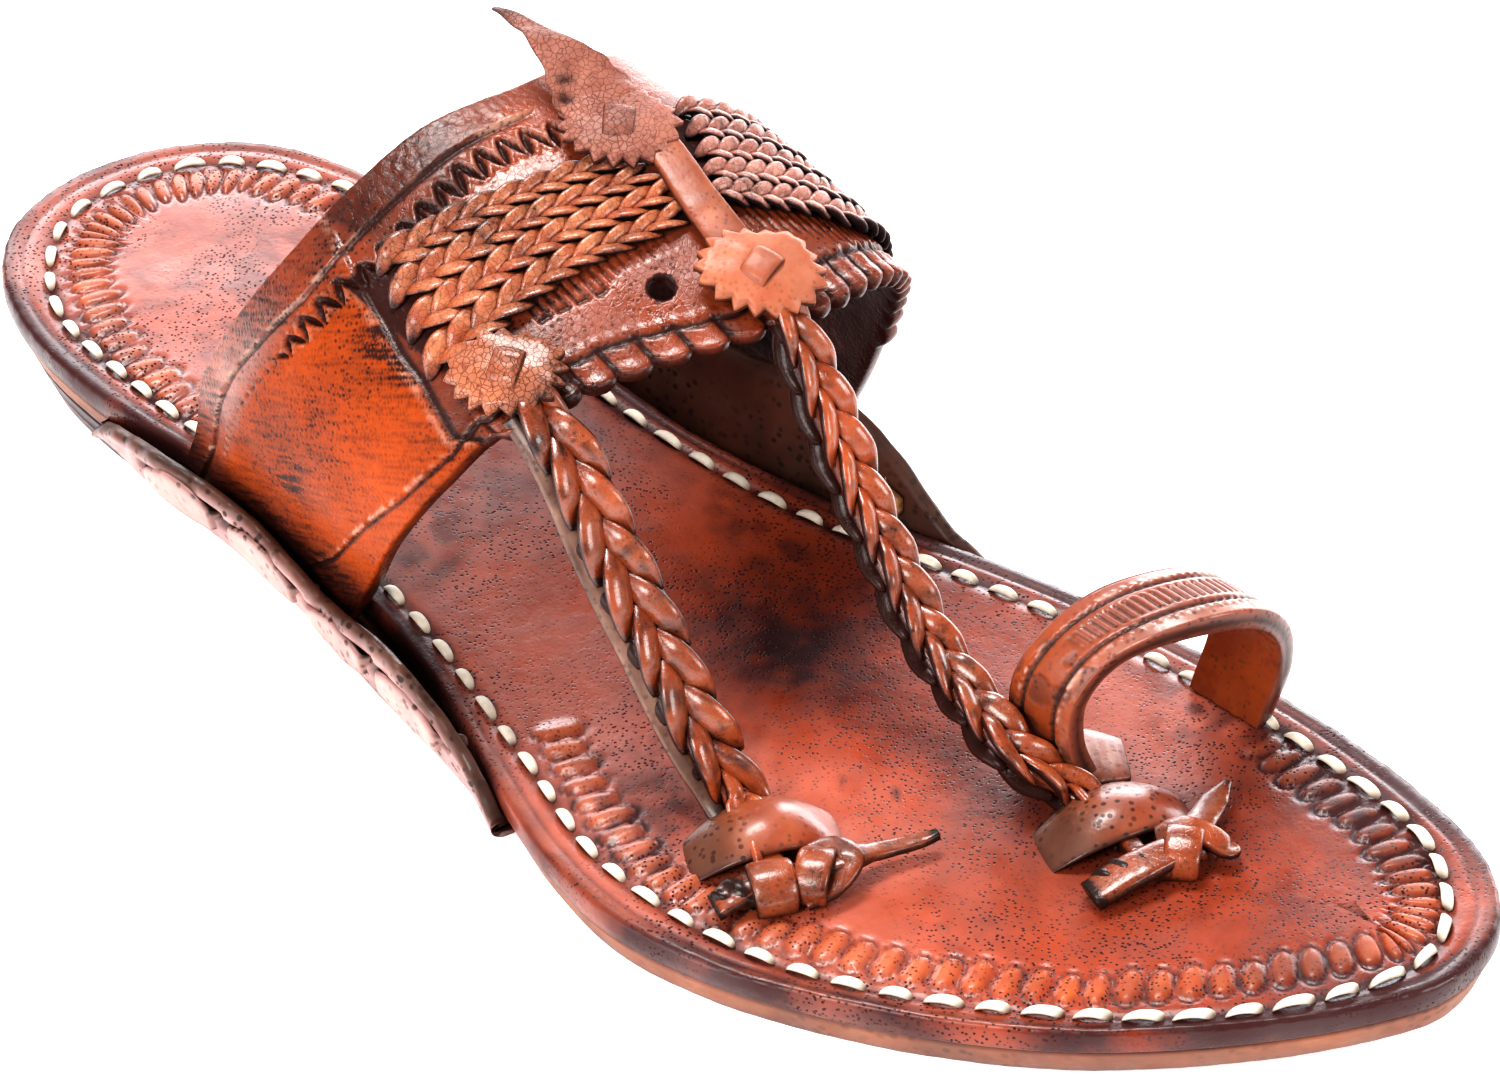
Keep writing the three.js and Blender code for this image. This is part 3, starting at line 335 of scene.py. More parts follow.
def laid(name, sheets, material, ends=False):
    """Grids of leather laid on their forms: a form(u, v) gives places in millimetres and masks."""
    bm = bmesh.new()
    starts = [0]
    for across, along, form in sheets:
        bmesh.ops.create_grid(bm, x_segments=across, y_segments=along, size=0.5)
        starts.append(len(bm.verts))
    mesh = bpy.data.meshes.new(name)
    bm.to_mesh(mesh)
    bm.free()
    flat = np.empty(len(mesh.vertices) * 3)
    mesh.vertices.foreach_get("co", flat)
    flat = flat.reshape(-1, 3)
    masks = {"shade_and_patina": np.zeros(len(flat)), "rubbed": np.zeros(len(flat)), "tint": np.zeros(len(flat))}
    for i, (across, along, form) in enumerate(sheets):
        span = slice(starts[i], starts[i + 1])
        points, given = form(flat[span, 0] + 0.5, flat[span, 1] + 0.5)
        flat[span] = to_frame(points)
        for key, value in given.items():
            masks[key][span] = np.clip(value, 0, 1)
    mesh.vertices.foreach_set("co", flat.ravel())
    for key, values in masks.items():
        mesh.attributes.new(key, "FLOAT", "POINT").data.foreach_set("value", values)
    bm = bmesh.new()
    bm.from_mesh(mesh)
    bmesh.ops.remove_doubles(bm, verts=bm.verts, dist=2e-6)
    bmesh.ops.dissolve_degenerate(bm, edges=bm.edges, dist=1e-7)
    if ends:
        bmesh.ops.holes_fill(bm, edges=[e for e in bm.edges if e.is_boundary], sides=0)
    bmesh.ops.recalc_face_normals(bm, faces=bm.faces)
    bm.to_mesh(mesh)
    bm.free()
    mesh.shade_smooth()
    mesh.materials.append(material)
    piece = bpy.data.objects.new(name, mesh)
    bpy.context.scene.collection.objects.link(piece)
    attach(piece, "root")
    return piece


def mottle(x, y, seed):
    """Smooth random values from 0 to 1 over a plane, about one to a unit."""
    lattice = np.random.default_rng(seed).random((64, 64))
    i, j = np.floor(x).astype(int), np.floor(y).astype(int)
    f, g = x - i, y - j
    f, g = f * f * (3 - 2 * f), g * g * (3 - 2 * g)
    low = lattice[i % 64, j % 64] * (1 - f) + lattice[(i + 1) % 64, j % 64] * f
    high = lattice[i % 64, (j + 1) % 64] * (1 - f) + lattice[(i + 1) % 64, (j + 1) % 64] * f
    return low * (1 - g) + high * g


loop = np.array([(x * BALL, HEEL_Y - at * LENGTH) for at, x in ROUND_HEEL]
                + [(inner * BALL, HEEL_Y - at * LENGTH) for at, outer, inner in OUTLINE]
                + [(x * BALL, HEEL_Y - at * LENGTH) for at, x in ROUND_TOE]
                + [(-outer * BALL, HEEL_Y - at * LENGTH) for at, outer, inner in OUTLINE[::-1]])
FINE = 2880
edge = curve(loop, np.arange(FINE) / FINE, True)
edge = np.roll(edge, -edge[:, 1].argmax(), 0)
tangent = np.roll(edge, -16, 0) - np.roll(edge, 16, 0)
inward = np.stack([tangent[:, 1], -tangent[:, 0]], -1) / np.linalg.norm(tangent, axis=1, keepdims=True)
toe_at = edge[:, 1].argmin()
run = np.concatenate([[0], np.cumsum(np.hypot(*np.diff(np.vstack([edge, edge[:1]]), axis=0).T))])
PERIMETER = run[-1]
SPINE_TOE, SPINE_HEEL = 40.0, 34.0   # how far the insole's middle line stops from toe and heel


def top_z(y):
    return (INSOLE + SEAT + OUTSOLE + HEEL_RISE * smooth(-15, 75, y)
            + TOE_SPRING * np.clip((-60 - np.asarray(y, float)) / 65, 0, 1.3) ** 2)


def round_edge(u, low):
    """u runs once round the sole from the heel, inner side first, down to y = low: index along the edge."""
    high = edge[0, 1]
    y = low + (high - low) * (1 + np.cos(2 * np.pi * u)) / 2
    inner, outer = np.arange(toe_at + 1), np.arange(toe_at, FINE + 1)
    outer_y = np.append(edge[toe_at:, 1], edge[0, 1])
    return np.where(u <= 0.5, np.interp(-y, -edge[:toe_at + 1, 1], inner), np.interp(y, outer_y, outer)), y


def edge_at(index, inset):
    """A place on the sole's plan: index along the edge, millimetres in from it."""
    i = np.arange(FINE + 1)
    e, m = np.vstack([edge, edge[:1]]), np.vstack([inward, inward[:1]])
    x = np.interp(index, i, e[:, 0]) + np.interp(index, i, m[:, 0]) * inset
    y = np.interp(index, i, e[:, 1]) + np.interp(index, i, m[:, 1]) * inset
    return x, y


def spine(y, low, gap):
    """The sole's middle line at the same share of the length, gap short of the front end."""
    high = edge[0, 1]
    ys = low + gap + (high - SPINE_HEEL - low - gap) * (y - low) / (high - low)
    side = [np.interp(-ys, -edge[:toe_at + 1, 1], edge[:toe_at + 1, 0]),
            np.interp(ys, edge[toe_at:, 1], edge[toe_at:, 0])]
    return (side[0] + side[1]) / 2, ys


def sole_layer(name, levels, material, relief, steps=6, round_steps=720, front=None):
    """One layer: levels are (inset, height over its line, line) from its underside's edge to its top's."""
    insets = [l[0] for l in levels]
    n = len(levels)
    low_y = edge[toe_at, 1] if front is None else front
    gap = SPINE_TOE if front is None else 0.0

    def form(u, v):
        row = v * (n + 2 * steps - 1) - steps
        index, y0 = round_edge(u, low_y)
        r = np.clip(row, 0, n - 1)
        inset = np.interp(r, np.arange(n), insets)
        x, y = edge_at(index, inset)
        to_middle = np.where(row < 0, -row / steps, np.where(row > n - 1, (row - n + 1) / steps, 0))
        sx, sy = spine(y0, low_y, gap)
        reach = np.clip(to_middle, 0, 1)
        x, y = x + (sx - x) * reach, y + (sy - y) * reach
        low = np.array([l[1](y) for l in levels])
        k = np.clip(np.floor(r).astype(int), 0, n - 2)
        z = np.take_along_axis(low, k[None], 0)[0]
        z = z + (np.take_along_axis(low, k[None] + 1, 0)[0] - z) * (r - k)
        s = np.interp(index, np.arange(FINE + 1), run)
        lift, masks = relief(s, r, n, inset, x, y)
        return np.stack([x, y, z + lift], -1), masks

    piece = laid(name, [(round_steps, n + 2 * steps - 1, form)], material)
    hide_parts(name)
    return piece


# The insole's tooling: a row of raised ovals punched round the toe and the heel inside the stitches,
# a scored line between the stitches and the edge, and a channel that the stitches sink into.
OVAL_PITCH, OVAL_LONG, OVAL_HIGH = 4.3, 3.3, 0.55
OVAL_IN = np.array([(0, 13.0), (15, 11.4), (49, 9.6), (62, 9.0), (232, 10.3), (298, 10.6), (339, 8.6),
                    (377, 8.8),
                    (410, 10.2), (452, 11.4), (528, 7.3), (550, 8.5), (572, 12.2), (593, 14.0),
                    (612, 13.0)])
OVAL_RUNS = [(232, 456), (528, 612), (0, 62)]    # stretches of the edge, in mm from the heel
STITCH_LINE = [    # middle of the stitches on the sole's plan, from the outer waist round the toe
    (-28.6, 19.2), (-35.6, -11), (-43.1, -38.2), (-39.8, -67.7), (-25.3, -95.5), (-4.5, -118.4),
    (18.4, -127.4),
    (33.9, -114.4), (39.3, -87.8), (38.6, -58.7), (32.8, -27.3), (24.7, 6.6), (21.9, 41.3), (25.4, 72.8),
    (26.4, 100.2), (15.3, 120.1), (-6.7, 123.4), (-22.5, 107.4), (-26.9, 79.5), (-27, 49.4)]
stitch_line = curve(STITCH_LINE, np.arange(1440) / 1440, True)
near = np.hypot(edge[None, :, 0] - stitch_line[:, None, 0], edge[None, :, 1] - stitch_line[:, None, 1])
near_at = near.argmin(1)
stitch_in = ((stitch_line - edge[near_at]) * inward[near_at]).sum(-1)
order = np.argsort(run[near_at])
STITCH_RUN, STITCH_INSET = run[near_at][order], stitch_in[order]


def insole_relief(s, level, n, inset, x, y):
    on_top = smooth(n - 34.5, n - 33.5, level)
    line = np.interp(s, STITCH_RUN, STITCH_INSET, period=PERIMETER)
    inside = sum(smooth(a, a + 3, s) * smooth(b, b - 3, s) for a, b in OVAL_RUNS)
    turn = s / OVAL_PITCH
    phase = turn - np.floor(turn) - 0.5
    # each oval leans a little, and its width and height wander from one to the next
    oval_in = np.interp(s, OVAL_IN[:, 0], OVAL_IN[:, 1])
    which = np.floor(turn)
    wander = np.sin(which * 2.4) * 0.5 + np.sin(which * 5.1) * 0.5
    lean = (inset - oval_in) * 0.03
    across = (phase + lean) * OVAL_PITCH / (1.85 + 0.15 * wander)
    along = (inset - oval_in - 0.4 * wander) / (OVAL_LONG + 0.3 * wander)
    far = np.sqrt(across ** 2 + np.abs(along) ** 2.4)
    pillow = np.clip(1 - far ** 2.2, 0, 1) ** 0.5
    moat = np.exp(-((far - 1.08) / 0.17) ** 2) * inside
    lift = (OVAL_HIGH * (1 + 0.15 * wander)) * pillow * inside - 0.35 * moat
    scored = bump_at(inset, line * 0.45, 0.35)
    channel = bump_at(inset, line, 1.1)
    lift = lift - 0.3 * scored - 0.45 * channel
    waves = 0.12 * np.sin(x * 0.21 + 1.3) * np.sin(y * 0.17) + 0.1 * np.sin(x * 0.09 - y * 0.13)
    lift = (lift + waves) * on_top
    rough_edge = ((1 - on_top) * smooth(1, 2, level) * (0.25 * np.sin(s * 0.9) * np.sin(s * 0.37 + 1)
                                                        + 0.12 * np.sin(s * 2.3)))
    # the two placed patches, under the toe loop's arch and under the inner strap, are painted shadow; the
    # mottled patches over the middle are stains
    smudge = (0.7 * bump_at(np.hypot(x - 32.9, y + 72.2), 0, 7)
              + 0.55 * bump_at(np.hypot(x - 5, (y + 20) * 0.5), 0, 12))
    smudge = smudge + 0.6 * smooth(0.55, 0.85, mottle(x * 0.05 + 9, y * 0.035, 61)) * smooth(3, 9, inset)
    smudge = smudge * smooth(0.2, 0.7, mottle(x * 0.4, y * 0.4, 62))
    scratch = bump_at((x + 6.9) * 0.9 + (y + 52) * 0.43, 0, 0.18) * smooth(6, 4, np.abs(y + 52))
    # the darkening within 3.5 mm of the edge is painted shade on the rounded lip, where the lamps light it
    shade_and_patina = on_top * (0.5 * moat + 0.35 * scored + 0.5 * channel + 0.5 * smooth(3.5, 0.5, inset)
                       + 0.55 * smudge
                       + 0.8 * scratch)
    rubbed = on_top * (pillow * inside * 0.8 + 0.4 * bump_at(inset, 1.2, 0.7))
    shade_and_patina = np.where(level < n - 34, 0.55 + 0.2 * np.sin(s * 0.31), shade_and_patina)
    # the dye is more orange over the middle and the toe; behind and to the outer side it is violet,
    # a painted reflection of the bright room
    orange_outside_painted_sheen = (bump_at(np.hypot(x - 14, (y + 34) * 0.8), 0, 24)
            + bump_at(np.hypot((x - 4) * 0.7, y + 108), 0, 26))
    orange_outside_painted_sheen = np.clip(1.3 * orange_outside_painted_sheen + 0.8 * (mottle(x * 0.05 + 4, y * 0.04 + 9, 64) - 0.45), 0, 1)
    return (lift + rough_edge, {"shade_and_patina": np.clip(shade_and_patina, 0, 1), "rubbed": np.clip(rubbed, 0, 1),
                                "tint": orange_outside_painted_sheen})


# the first colour, violet, is a painted reflection of the bright room; the orange tint shows where it is
# not
insole_paint = leather(
    "insole_leather", (0.41, 0.082, 0.040), (0.045, 0.012, 0.012), (0.55, 0.12, 0.025),
    tint=(0.40, 0.050, 0.008),
    bump=0.4, coat=0.3, matte=0.45,
    cloud_size=26.0, cloud=0.75, pore_size=1450.0, pores=0.95, gloss=0.27)
under_insole = lambda y: top_z(y) - INSOLE
insole_levels = [(0.6, under_insole), (0.0, lambda y: under_insole(y) + 0.7),
                 (-0.1, lambda y: under_insole(y) + 2.0),
                 (0.0, lambda y: top_z(y) - 1.0), (0.25, lambda y: top_z(y) - 0.35)]
insole_levels += [(0.8 + 0.6 * i, top_z) for i in range(33)]
sole_layer("insole", insole_levels, insole_paint, insole_relief, steps=12,
           round_steps=960)

edge_paint = leather(
    "sole_edge_leather", (0.26, 0.075, 0.035), (0.045, 0.022, 0.022), (0.50, 0.22, 0.10), bump=0.5,
    coat=0.1,
    cloud_size=40.0, cloud=0.6, pore_size=500.0, pores=0.3, gloss=0.42)
heel_paint = leather(
    "heel_edge_leather", (0.16, 0.075, 0.07), (0.035, 0.022, 0.026), (0.38, 0.26, 0.24), bump=0.5, coat=0.3,
    cloud_size=30.0, cloud=0.6, pore_size=400.0, pores=0.25, gloss=0.34)
under_outsole = lambda y: top_z(y) - INSOLE - SEAT - OUTSOLE
wedge_top = lambda y: under_outsole(y) - SEAT
lift_top = lambda y: np.maximum(wedge_top(y) - SEAT, 0) * 0.52
HEEL_FRONT = 17.0


def layered_edge(s, level, n, *place):
    """Cut edges wander a little and show a darker line where two layers meet."""
    wave = 0.10 * np.sin(s * 0.5 + 1) + 0.08 * np.sin(s * 1.7)
    ends = np.maximum(bump_at(level, 0, 0.5), bump_at(level, n - 1, 0.5))
    return wave * 0.3 * (1 - ends), {"shade_and_patina": np.clip(0.55 * ends + 0.1 * np.sin(s * 0.23), 0, 1),
                                     "rubbed": np.clip(0.35 * bump_at(level, (n - 1) / 2, 1.0), 0, 1)}


outsole_top = lambda y: top_z(y) - INSOLE - SEAT
sole_layer("outsole", [(2.4, under_outsole), (1.9, lambda y: under_outsole(y) + 0.35),
                       (1.3, lambda y: under_outsole(y) + 2.0), (0.9, lambda y: outsole_top(y) - 0.9),
                       (0.8, lambda y: outsole_top(y) - 0.4), (1.2, outsole_top)],
           edge_paint, layered_edge)
sole_layer("heel_wedge", [(3.2, lambda y: lift_top(y) + SEAT),
                          (2.8, lambda y: (lift_top(y) + SEAT + wedge_top(y)) / 2),
                          (2.1, wedge_top)],
           heel_paint, layered_edge, front=HEEL_FRONT)
sole_layer("heel_lift", [(4.6, lambda y: 0 * y), (4.0, lambda y: lift_top(y) / 2), (3.4, lift_top)],
           heel_paint, layered_edge, front=HEEL_FRONT)

# The stitches: one flat waxed thong of pale rawhide sewn through insole and outsole all round, each
# stitch a short lens lying in the channel, painted in shade at both ends, where it goes down through
# the leather, and on its underside.
STITCHES, STITCH_LONG, STITCH_WIDE, STITCH_THICK = 89, 5.0, 1.6, 1.0
stitch_paint = leather(
    "stitch_thong", (0.78, 0.69, 0.56), (0.16, 0.085, 0.05), (0.92, 0.86, 0.74), bump=0.15, coat=0.0,
    cloud_size=300.0, cloud=0.25, pores=0.1, gloss=0.5)
line_run = np.concatenate([[0], np.cumsum(np.hypot(*np.diff(np.vstack([stitch_line, stitch_line[:1]]),
                                                            axis=0).T))])


def on_stitch_line(distance):
    closed = np.vstack([stitch_line, stitch_line[:1]])
    d = np.mod(distance, line_run[-1])
    return np.interp(d, line_run, closed[:, 0]), np.interp(d, line_run, closed[:, 1])


def stitch_form(number):
    middle = (number + 0.35) / STITCHES * line_run[-1]
    y0 = on_stitch_line(middle)[1]
    at_toe = float(smooth(-70, -110, y0))
    half = STITCH_LONG / 2 * (1 + 0.1 * math.sin(number * 2.7)) * (1 + 0.1 * at_toe)

    def form(u, v):
        along = np.clip((v - 0.5) * 2, -1, 1)
        body = np.clip(1 - np.abs(along) ** (2.2 + 3 * at_toe), 0, 1) ** 0.5
        turn = 2 * np.pi * u
        x, y = on_stitch_line(middle + along * half)
        ahead_x, ahead_y = on_stitch_line(middle + along * half + 0.5)
        dx, dy = (ahead_x - x) / 0.5, (ahead_y - y) / 0.5
        side = np.cos(turn) * STITCH_WIDE / 2 * body
        skew = side * (0.25 + 0.5 * at_toe)
        high = (0.12 + 0.62 * (1 - along ** 2) ** 0.7 + np.sin(turn) * STITCH_THICK / 2 * body
                - 0.55 * np.abs(along) ** 3)
        x, y = x - dy * side + dx * skew, y + dx * side + dy * skew
        # both ends are painted shade where the thong goes down into its holes, and so is its underside
        shade_at_holes_and_underside = 0.7 * smooth(0.6, 1.0, np.abs(along)) + 0.35 * smooth(0.2, -0.6, np.sin(turn))
        return np.stack([x, y, top_z(y) + high - 0.15], -1), {"shade_and_patina": shade_at_holes_and_underside, "rubbed": 0.6 * body}
    return form


laid("sole_stitches", [(12, 10, stitch_form(i)) for i in range(STITCHES)], stitch_paint)


# The half-moon bridges: two flaps of the insole leather, cut free, wetted and raised into hoods. The
# plaited straps go under them and are knotted on the toe side.
BRIDGES = {
    "lateral": {"x": -26.0, "y": -49.8, "along": (0.872, -0.490), "long": 22.0, "wide": 12.4, "high": 6.0},
    "medial": {"x": 8.9, "y": -80.9, "along": (0.917, -0.399), "long": 22.5, "wide": 12.2, "high": 5.8}}
BRIDGE_THICK = 1.7


def under(b, along, across, high):
    """A place by a bridge: along its span, across it towards the toe, and over the insole."""
    ax, ay = b["along"]
    x = b["x"] + ax * np.asarray(along, float) + ay * across
    y = b["y"] + ay * np.asarray(along, float) - ax * across
    return np.stack([x, y, top_z(y) + high], -1)


def bridge_form(b):
    def form(u, v):
        # u round the wall of the hood, from its rear lip over the top to its front lip and back inside
        s, w = v, 2 * u
        outside = w <= 1
        across_share = np.where(outside, w, 2 - w) * 2 - 1
        lift = np.sin(np.pi * np.clip(s, 0, 1))
        half = b["wide"] * (0.60 + 0.40 * lift ** 0.8) / 2
        reach = across_share * half - 1.2 * lift
        bulge = 1 - 0.38 * np.abs(across_share) ** 2.2 + 0.06 * across_share
        wall = np.where(outside, 0, BRIDGE_THICK) * smooth(1, 0.86, np.abs(across_share))
        high = -0.9 + (b["high"] + 0.9) * lift ** 0.75 * bulge - wall * (0.4 + 0.6 * lift)
        along = (s - 0.5) * b["long"] * (1 - 0.04 * wall)
        lip = smooth(0.82, 1.0, np.abs(across_share))
        # the inside of the hood and its low ends at the insole are painted in shade
        masks = {"shade_and_patina": np.where(outside, 0.10 + 0.6 * lip + 0.35 * smooth(0.25, 0.0, lift), 0.9),
                 "rubbed": np.where(outside, 0.35 * smooth(0.6, 0.9, lift), 0),
                 "tint": 1 - smooth(-8, 3, along)}
        return under(b, along, reach + 0.5 * np.sin(s * 5), high), masks
    return form


bridge_paint = leather(
    "bridge_leather", (0.32, 0.048, 0.012), (0.04, 0.014, 0.010), (0.52, 0.15, 0.06),
    tint=(0.13, 0.045, 0.022),
    bump=0.4, coat=0.5, cloud_size=60.0, cloud=0.35, pore_size=780.0, pores=0.7, gloss=0.26)
for name, b in BRIDGES.items():
    laid(name + "_bridge", [(56, 48, bridge_form(b))], bridge_paint, ends=True)


# The ears: a flange of leather on each side, its root sewn between insole and outsole, turned up
# beside the foot. A flat thong is woven through slits along it and its long passes lie like leaves.
WALL = 2.4
EARS = {
    "lateral": {"side": -1, "from": 84.0, "to": -17.5, "push": 7.0, "wavy": 1.0, "rows": np.array([
        (-20, -0.6, 0.05), (-15, 2.2, 0.1), (-10, 4.6, 0.2), (-3, 8.6, 0.5), (5, 12.0, 0.8),
        (12, 12.2, 0.95),
        (20, 9.6, 1), (27, 8.0, 1), (34, 9.0, 1), (42, 10.4, 1), (52, 10.2, 1), (62, 9.0, 0.95),
        (70, 7.0, 0.7),
        (77, 3.8, 0.4), (84, -0.6, 0.1)])},
    "medial": {"side": 1, "from": 66.0, "to": -26.0, "push": 2.4, "wavy": 0.4, "rows": np.array([
        (-26, -0.6, 0.1), (-22, 2.6, 0.3), (-17, 6.4, 0.6), (-12, 11.6, 0.85), (-7, 17.0, 1), (-2, 21.0, 1),
        (6, 22.4, 1), (16, 20.4, 0.95), (28, 17.0, 0.9), (42, 12.4, 0.8), (54, 7.0, 0.6),
        (66, -0.6, 0.1)])}}
WEAVE = {
    "lateral": {"start": 66.0, "end": -5.5, "up": 0.46, "outside": [(66, 49), (47, 31), (29, 13),
                                                                    (11, -4)]},
    "medial": {"start": 2.0, "end": -12.2, "up": 0.5, "outside": [(-5.2, -8.8)]}}
THONG_WIDE, THONG_THICK = 5.6, 1.2


def ear_line(ear, y):
    """The flange's middle line at y: six places (out from the insole's edge, over its underside)."""
    top = np.interp(y, ear["rows"][:, 0], ear["rows"][:, 1])
    out = ear["push"] * np.interp(y, ear["rows"][:, 0], ear["rows"][:, 2])
    low, bend = np.minimum(-0.9, -1.7 + (top + 1.7) * 0.35), np.minimum(1.6, -1.7 + (top + 1.7) * 0.6)
    foot, lip = np.maximum(out * 0.92 + 0.3, 1.6), np.maximum(out + 0.6, 1.65) + np.maximum(top, 0) * 0.03
    o = np.stack([0 * y - 7, 0 * y - 0.6, foot * 0.62, foot, foot + (lip - foot) * 0.6, lip], -1)
    z = np.stack([0 * y - 1.7, 0 * y - 1.7, low, bend, bend + (top - bend) * 0.5, top], -1)
    return o, z


def ear_place(ear, y, o, z):
    side = ear["side"]
    if side > 0:
        x = np.interp(-y, -edge[:toe_at + 1, 1], edge[:toe_at + 1, 0])
    else:
        x = np.interp(y, edge[toe_at:, 1], edge[toe_at:, 0])
    return np.stack([x + side * o, y, top_z(y) - INSOLE + z], -1)


def section_at(table, turn):
    """A row's value in a table of six places, at a turn from 0 to 5."""
    k = np.clip(np.floor(turn).astype(int), 0, 4)
    low, high = (np.take_along_axis(table, i[:, None], 1)[:, 0] for i in (k, k + 1))
    return low * (1 - turn + k) + high * (turn - k)


def ear_form(ear, weave):
    def form(u, v):
        y = ear["to"] + (ear["from"] - ear["to"]) * v
        wave = ear["wavy"] * (0.5 * np.sin(y * 0.42) + 0.25 * np.sin(y * 1.1 + 1))
        o, z = ear_line(ear, y)
        # round the section: root, up the outside, over the lip, down the inside
        turn = u * 2
        outer = turn <= 1
        at = np.where(outer, turn, 2 - turn) * 5
        before, after = np.clip(at - 0.5, 0, 5), np.clip(at + 0.5, 0, 5)
        (o0, z0), (o1, z1), (o2, z2) = [[section_at(a, t) for a in (o, z)] for t in (at, before, after)]
        do, dz = o2 - o1, z2 - z1
        long = np.maximum(np.hypot(do, dz), 1e-6)
        lip = np.clip((at - 4.6) / 0.4, 0, 1)
        thick = WALL / 2 * np.sqrt(np.clip(1 - lip ** 2 * 0.96, 0.02, 1)) * np.where(outer, 1, -1)
        soft_o, soft_z = (o0 * 2 + o1 + o2) / 4, (z0 * 2 + z1 + z2) / 4
        stand = smooth(2.5, 4.5, at)
        o_at = soft_o + dz / long * thick + 0.5 * wave * stand
        z_at = soft_z - do / long * thick + lip * 0.5 + wave * stand * 0.7
        grime = mottle(y * 0.35, at * 1.3, 5)
        # the slits stand open under the lip, over each long pass of the thong, and are painted in shade
        slit = 0 * y
        for a, b in weave["outside"]:
            t = np.clip((a + 2 - y) / (a - b + 4), 0, 1)
            slit = np.maximum(slit, np.sin(np.pi * t) ** 0.5
                              * smooth(0.34, 0.14, np.abs(at - 4.05 - 0.25 * t)))
        slit = slit * outer
        o_at, z_at = o_at - dz / long * 1.5 * slit, z_at + do / long * 1.5 * slit
        # the outer face takes the pale mauve tint, a painted sheen of the grazing light
        masks = {"shade_and_patina": np.where(outer, 0.25 * grime, 0.25 + 0.35 * grime) * (1 - lip) + 0.55 * lip
                 + 0.98 * slit,
                 "rubbed": 0.5 * smooth(0.75, 1, lip) * mottle(y * 0.8, at, 8),
                 "tint": np.where(outer, 1 - lip, 0.0)}
        return ear_place(ear, y, o_at, z_at), masks
    return form


def rounded(x, power):
    """A cosine or sine drawn out, so that a ring becomes a flat strip with rounded edges."""
    return np.sign(x) * np.abs(x) ** power


def thong_form(ear, weave):
    def form(u, v):
        y = weave["start"] + (weave["end"] - weave["start"]) * v
        reach = WALL / 2 + THONG_THICK / 2 + 0.05
        h, leaf = -reach + 0 * y, np.full_like(y, 0.45)
        for a, b in weave["outside"]:
            h = h + 2 * reach * smooth(a + 1.4, a - 1.4, y) * smooth(b - 1.4, b + 1.4, y)
            inside = np.clip((a + 1 - y) / (a - b + 2), 0, 1)
            leaf = np.maximum(leaf, np.sin(np.pi * inside) ** 0.6)
            h = h - 0.5 * np.sin(np.pi * inside) ** 0.5
        o, z = ear_line(ear, y)
        do, dz = o[:, 5] - o[:, 3], z[:, 5] - z[:, 3]
        wall = np.hypot(do, dz)
        turn = 2 * np.pi * u
        across = rounded(np.cos(turn), 0.7) * np.minimum(THONG_WIDE * 1.2, wall * 0.86) / 2 * leaf
        deep = rounded(np.sin(turn), 0.7) * THONG_THICK / 2
        f = weave["up"] + across / wall
        o_at, z_at = o[:, 3] + do * f + dz / wall * (h + deep), z[:, 3] + dz * f - do / wall * (h + deep)
        edge_mask = smooth(0.5, 1, np.abs(np.cos(turn)))
        # where the thong passes behind the flange's wall it is painted in shade
        masks = {"shade_and_patina": 0.35 * edge_mask + 0.4 * smooth(0.6, 0.45, leaf),
                 "rubbed": 0.5 * (1 - edge_mask)}
        return ear_place(ear, y, o_at, z_at), masks
    return form


# the tint, pale mauve, is a painted sheen on the outer face; the dye shows on the inside
ear_paint = leather(
    "ear_leather", (0.16, 0.05, 0.028), (0.035, 0.015, 0.010), (0.52, 0.28, 0.18), tint=(0.60, 0.32, 0.30),
    bump=0.4, coat=0.2, cloud_size=45.0, cloud=0.45, pore_size=620.0, pores=0.7, gloss=0.36)
thong_paints = {
    "lateral": leather("ear_thong_leather", (0.62, 0.34, 0.31), (0.04, 0.018, 0.014), (0.60, 0.34, 0.28),
                       bump=0.3, coat=0.3, cloud_size=80.0, cloud=0.4, pore_size=620.0, pores=0.5,
                       gloss=0.36),
    "medial": leather("ear_thong_tan", (0.50, 0.20, 0.06), (0.05, 0.02, 0.01), (0.72, 0.42, 0.18),
                      bump=0.3, coat=0.3, cloud_size=150.0, cloud=0.4, pore_size=620.0, pores=0.3,
                      gloss=0.36)}
for name, ear in EARS.items():
    flange = laid(name + "_ear", [(120, 260, ear_form(ear, WEAVE[name]))], ear_paint,
                  ends=True)
    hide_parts(name + "_ear")
    thong = laid(name + "_ear_thong", [(20, 220, thong_form(ear, WEAVE[name]))], thong_paints[name],
                 ends=True)
    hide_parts(name + "_ear_thong")


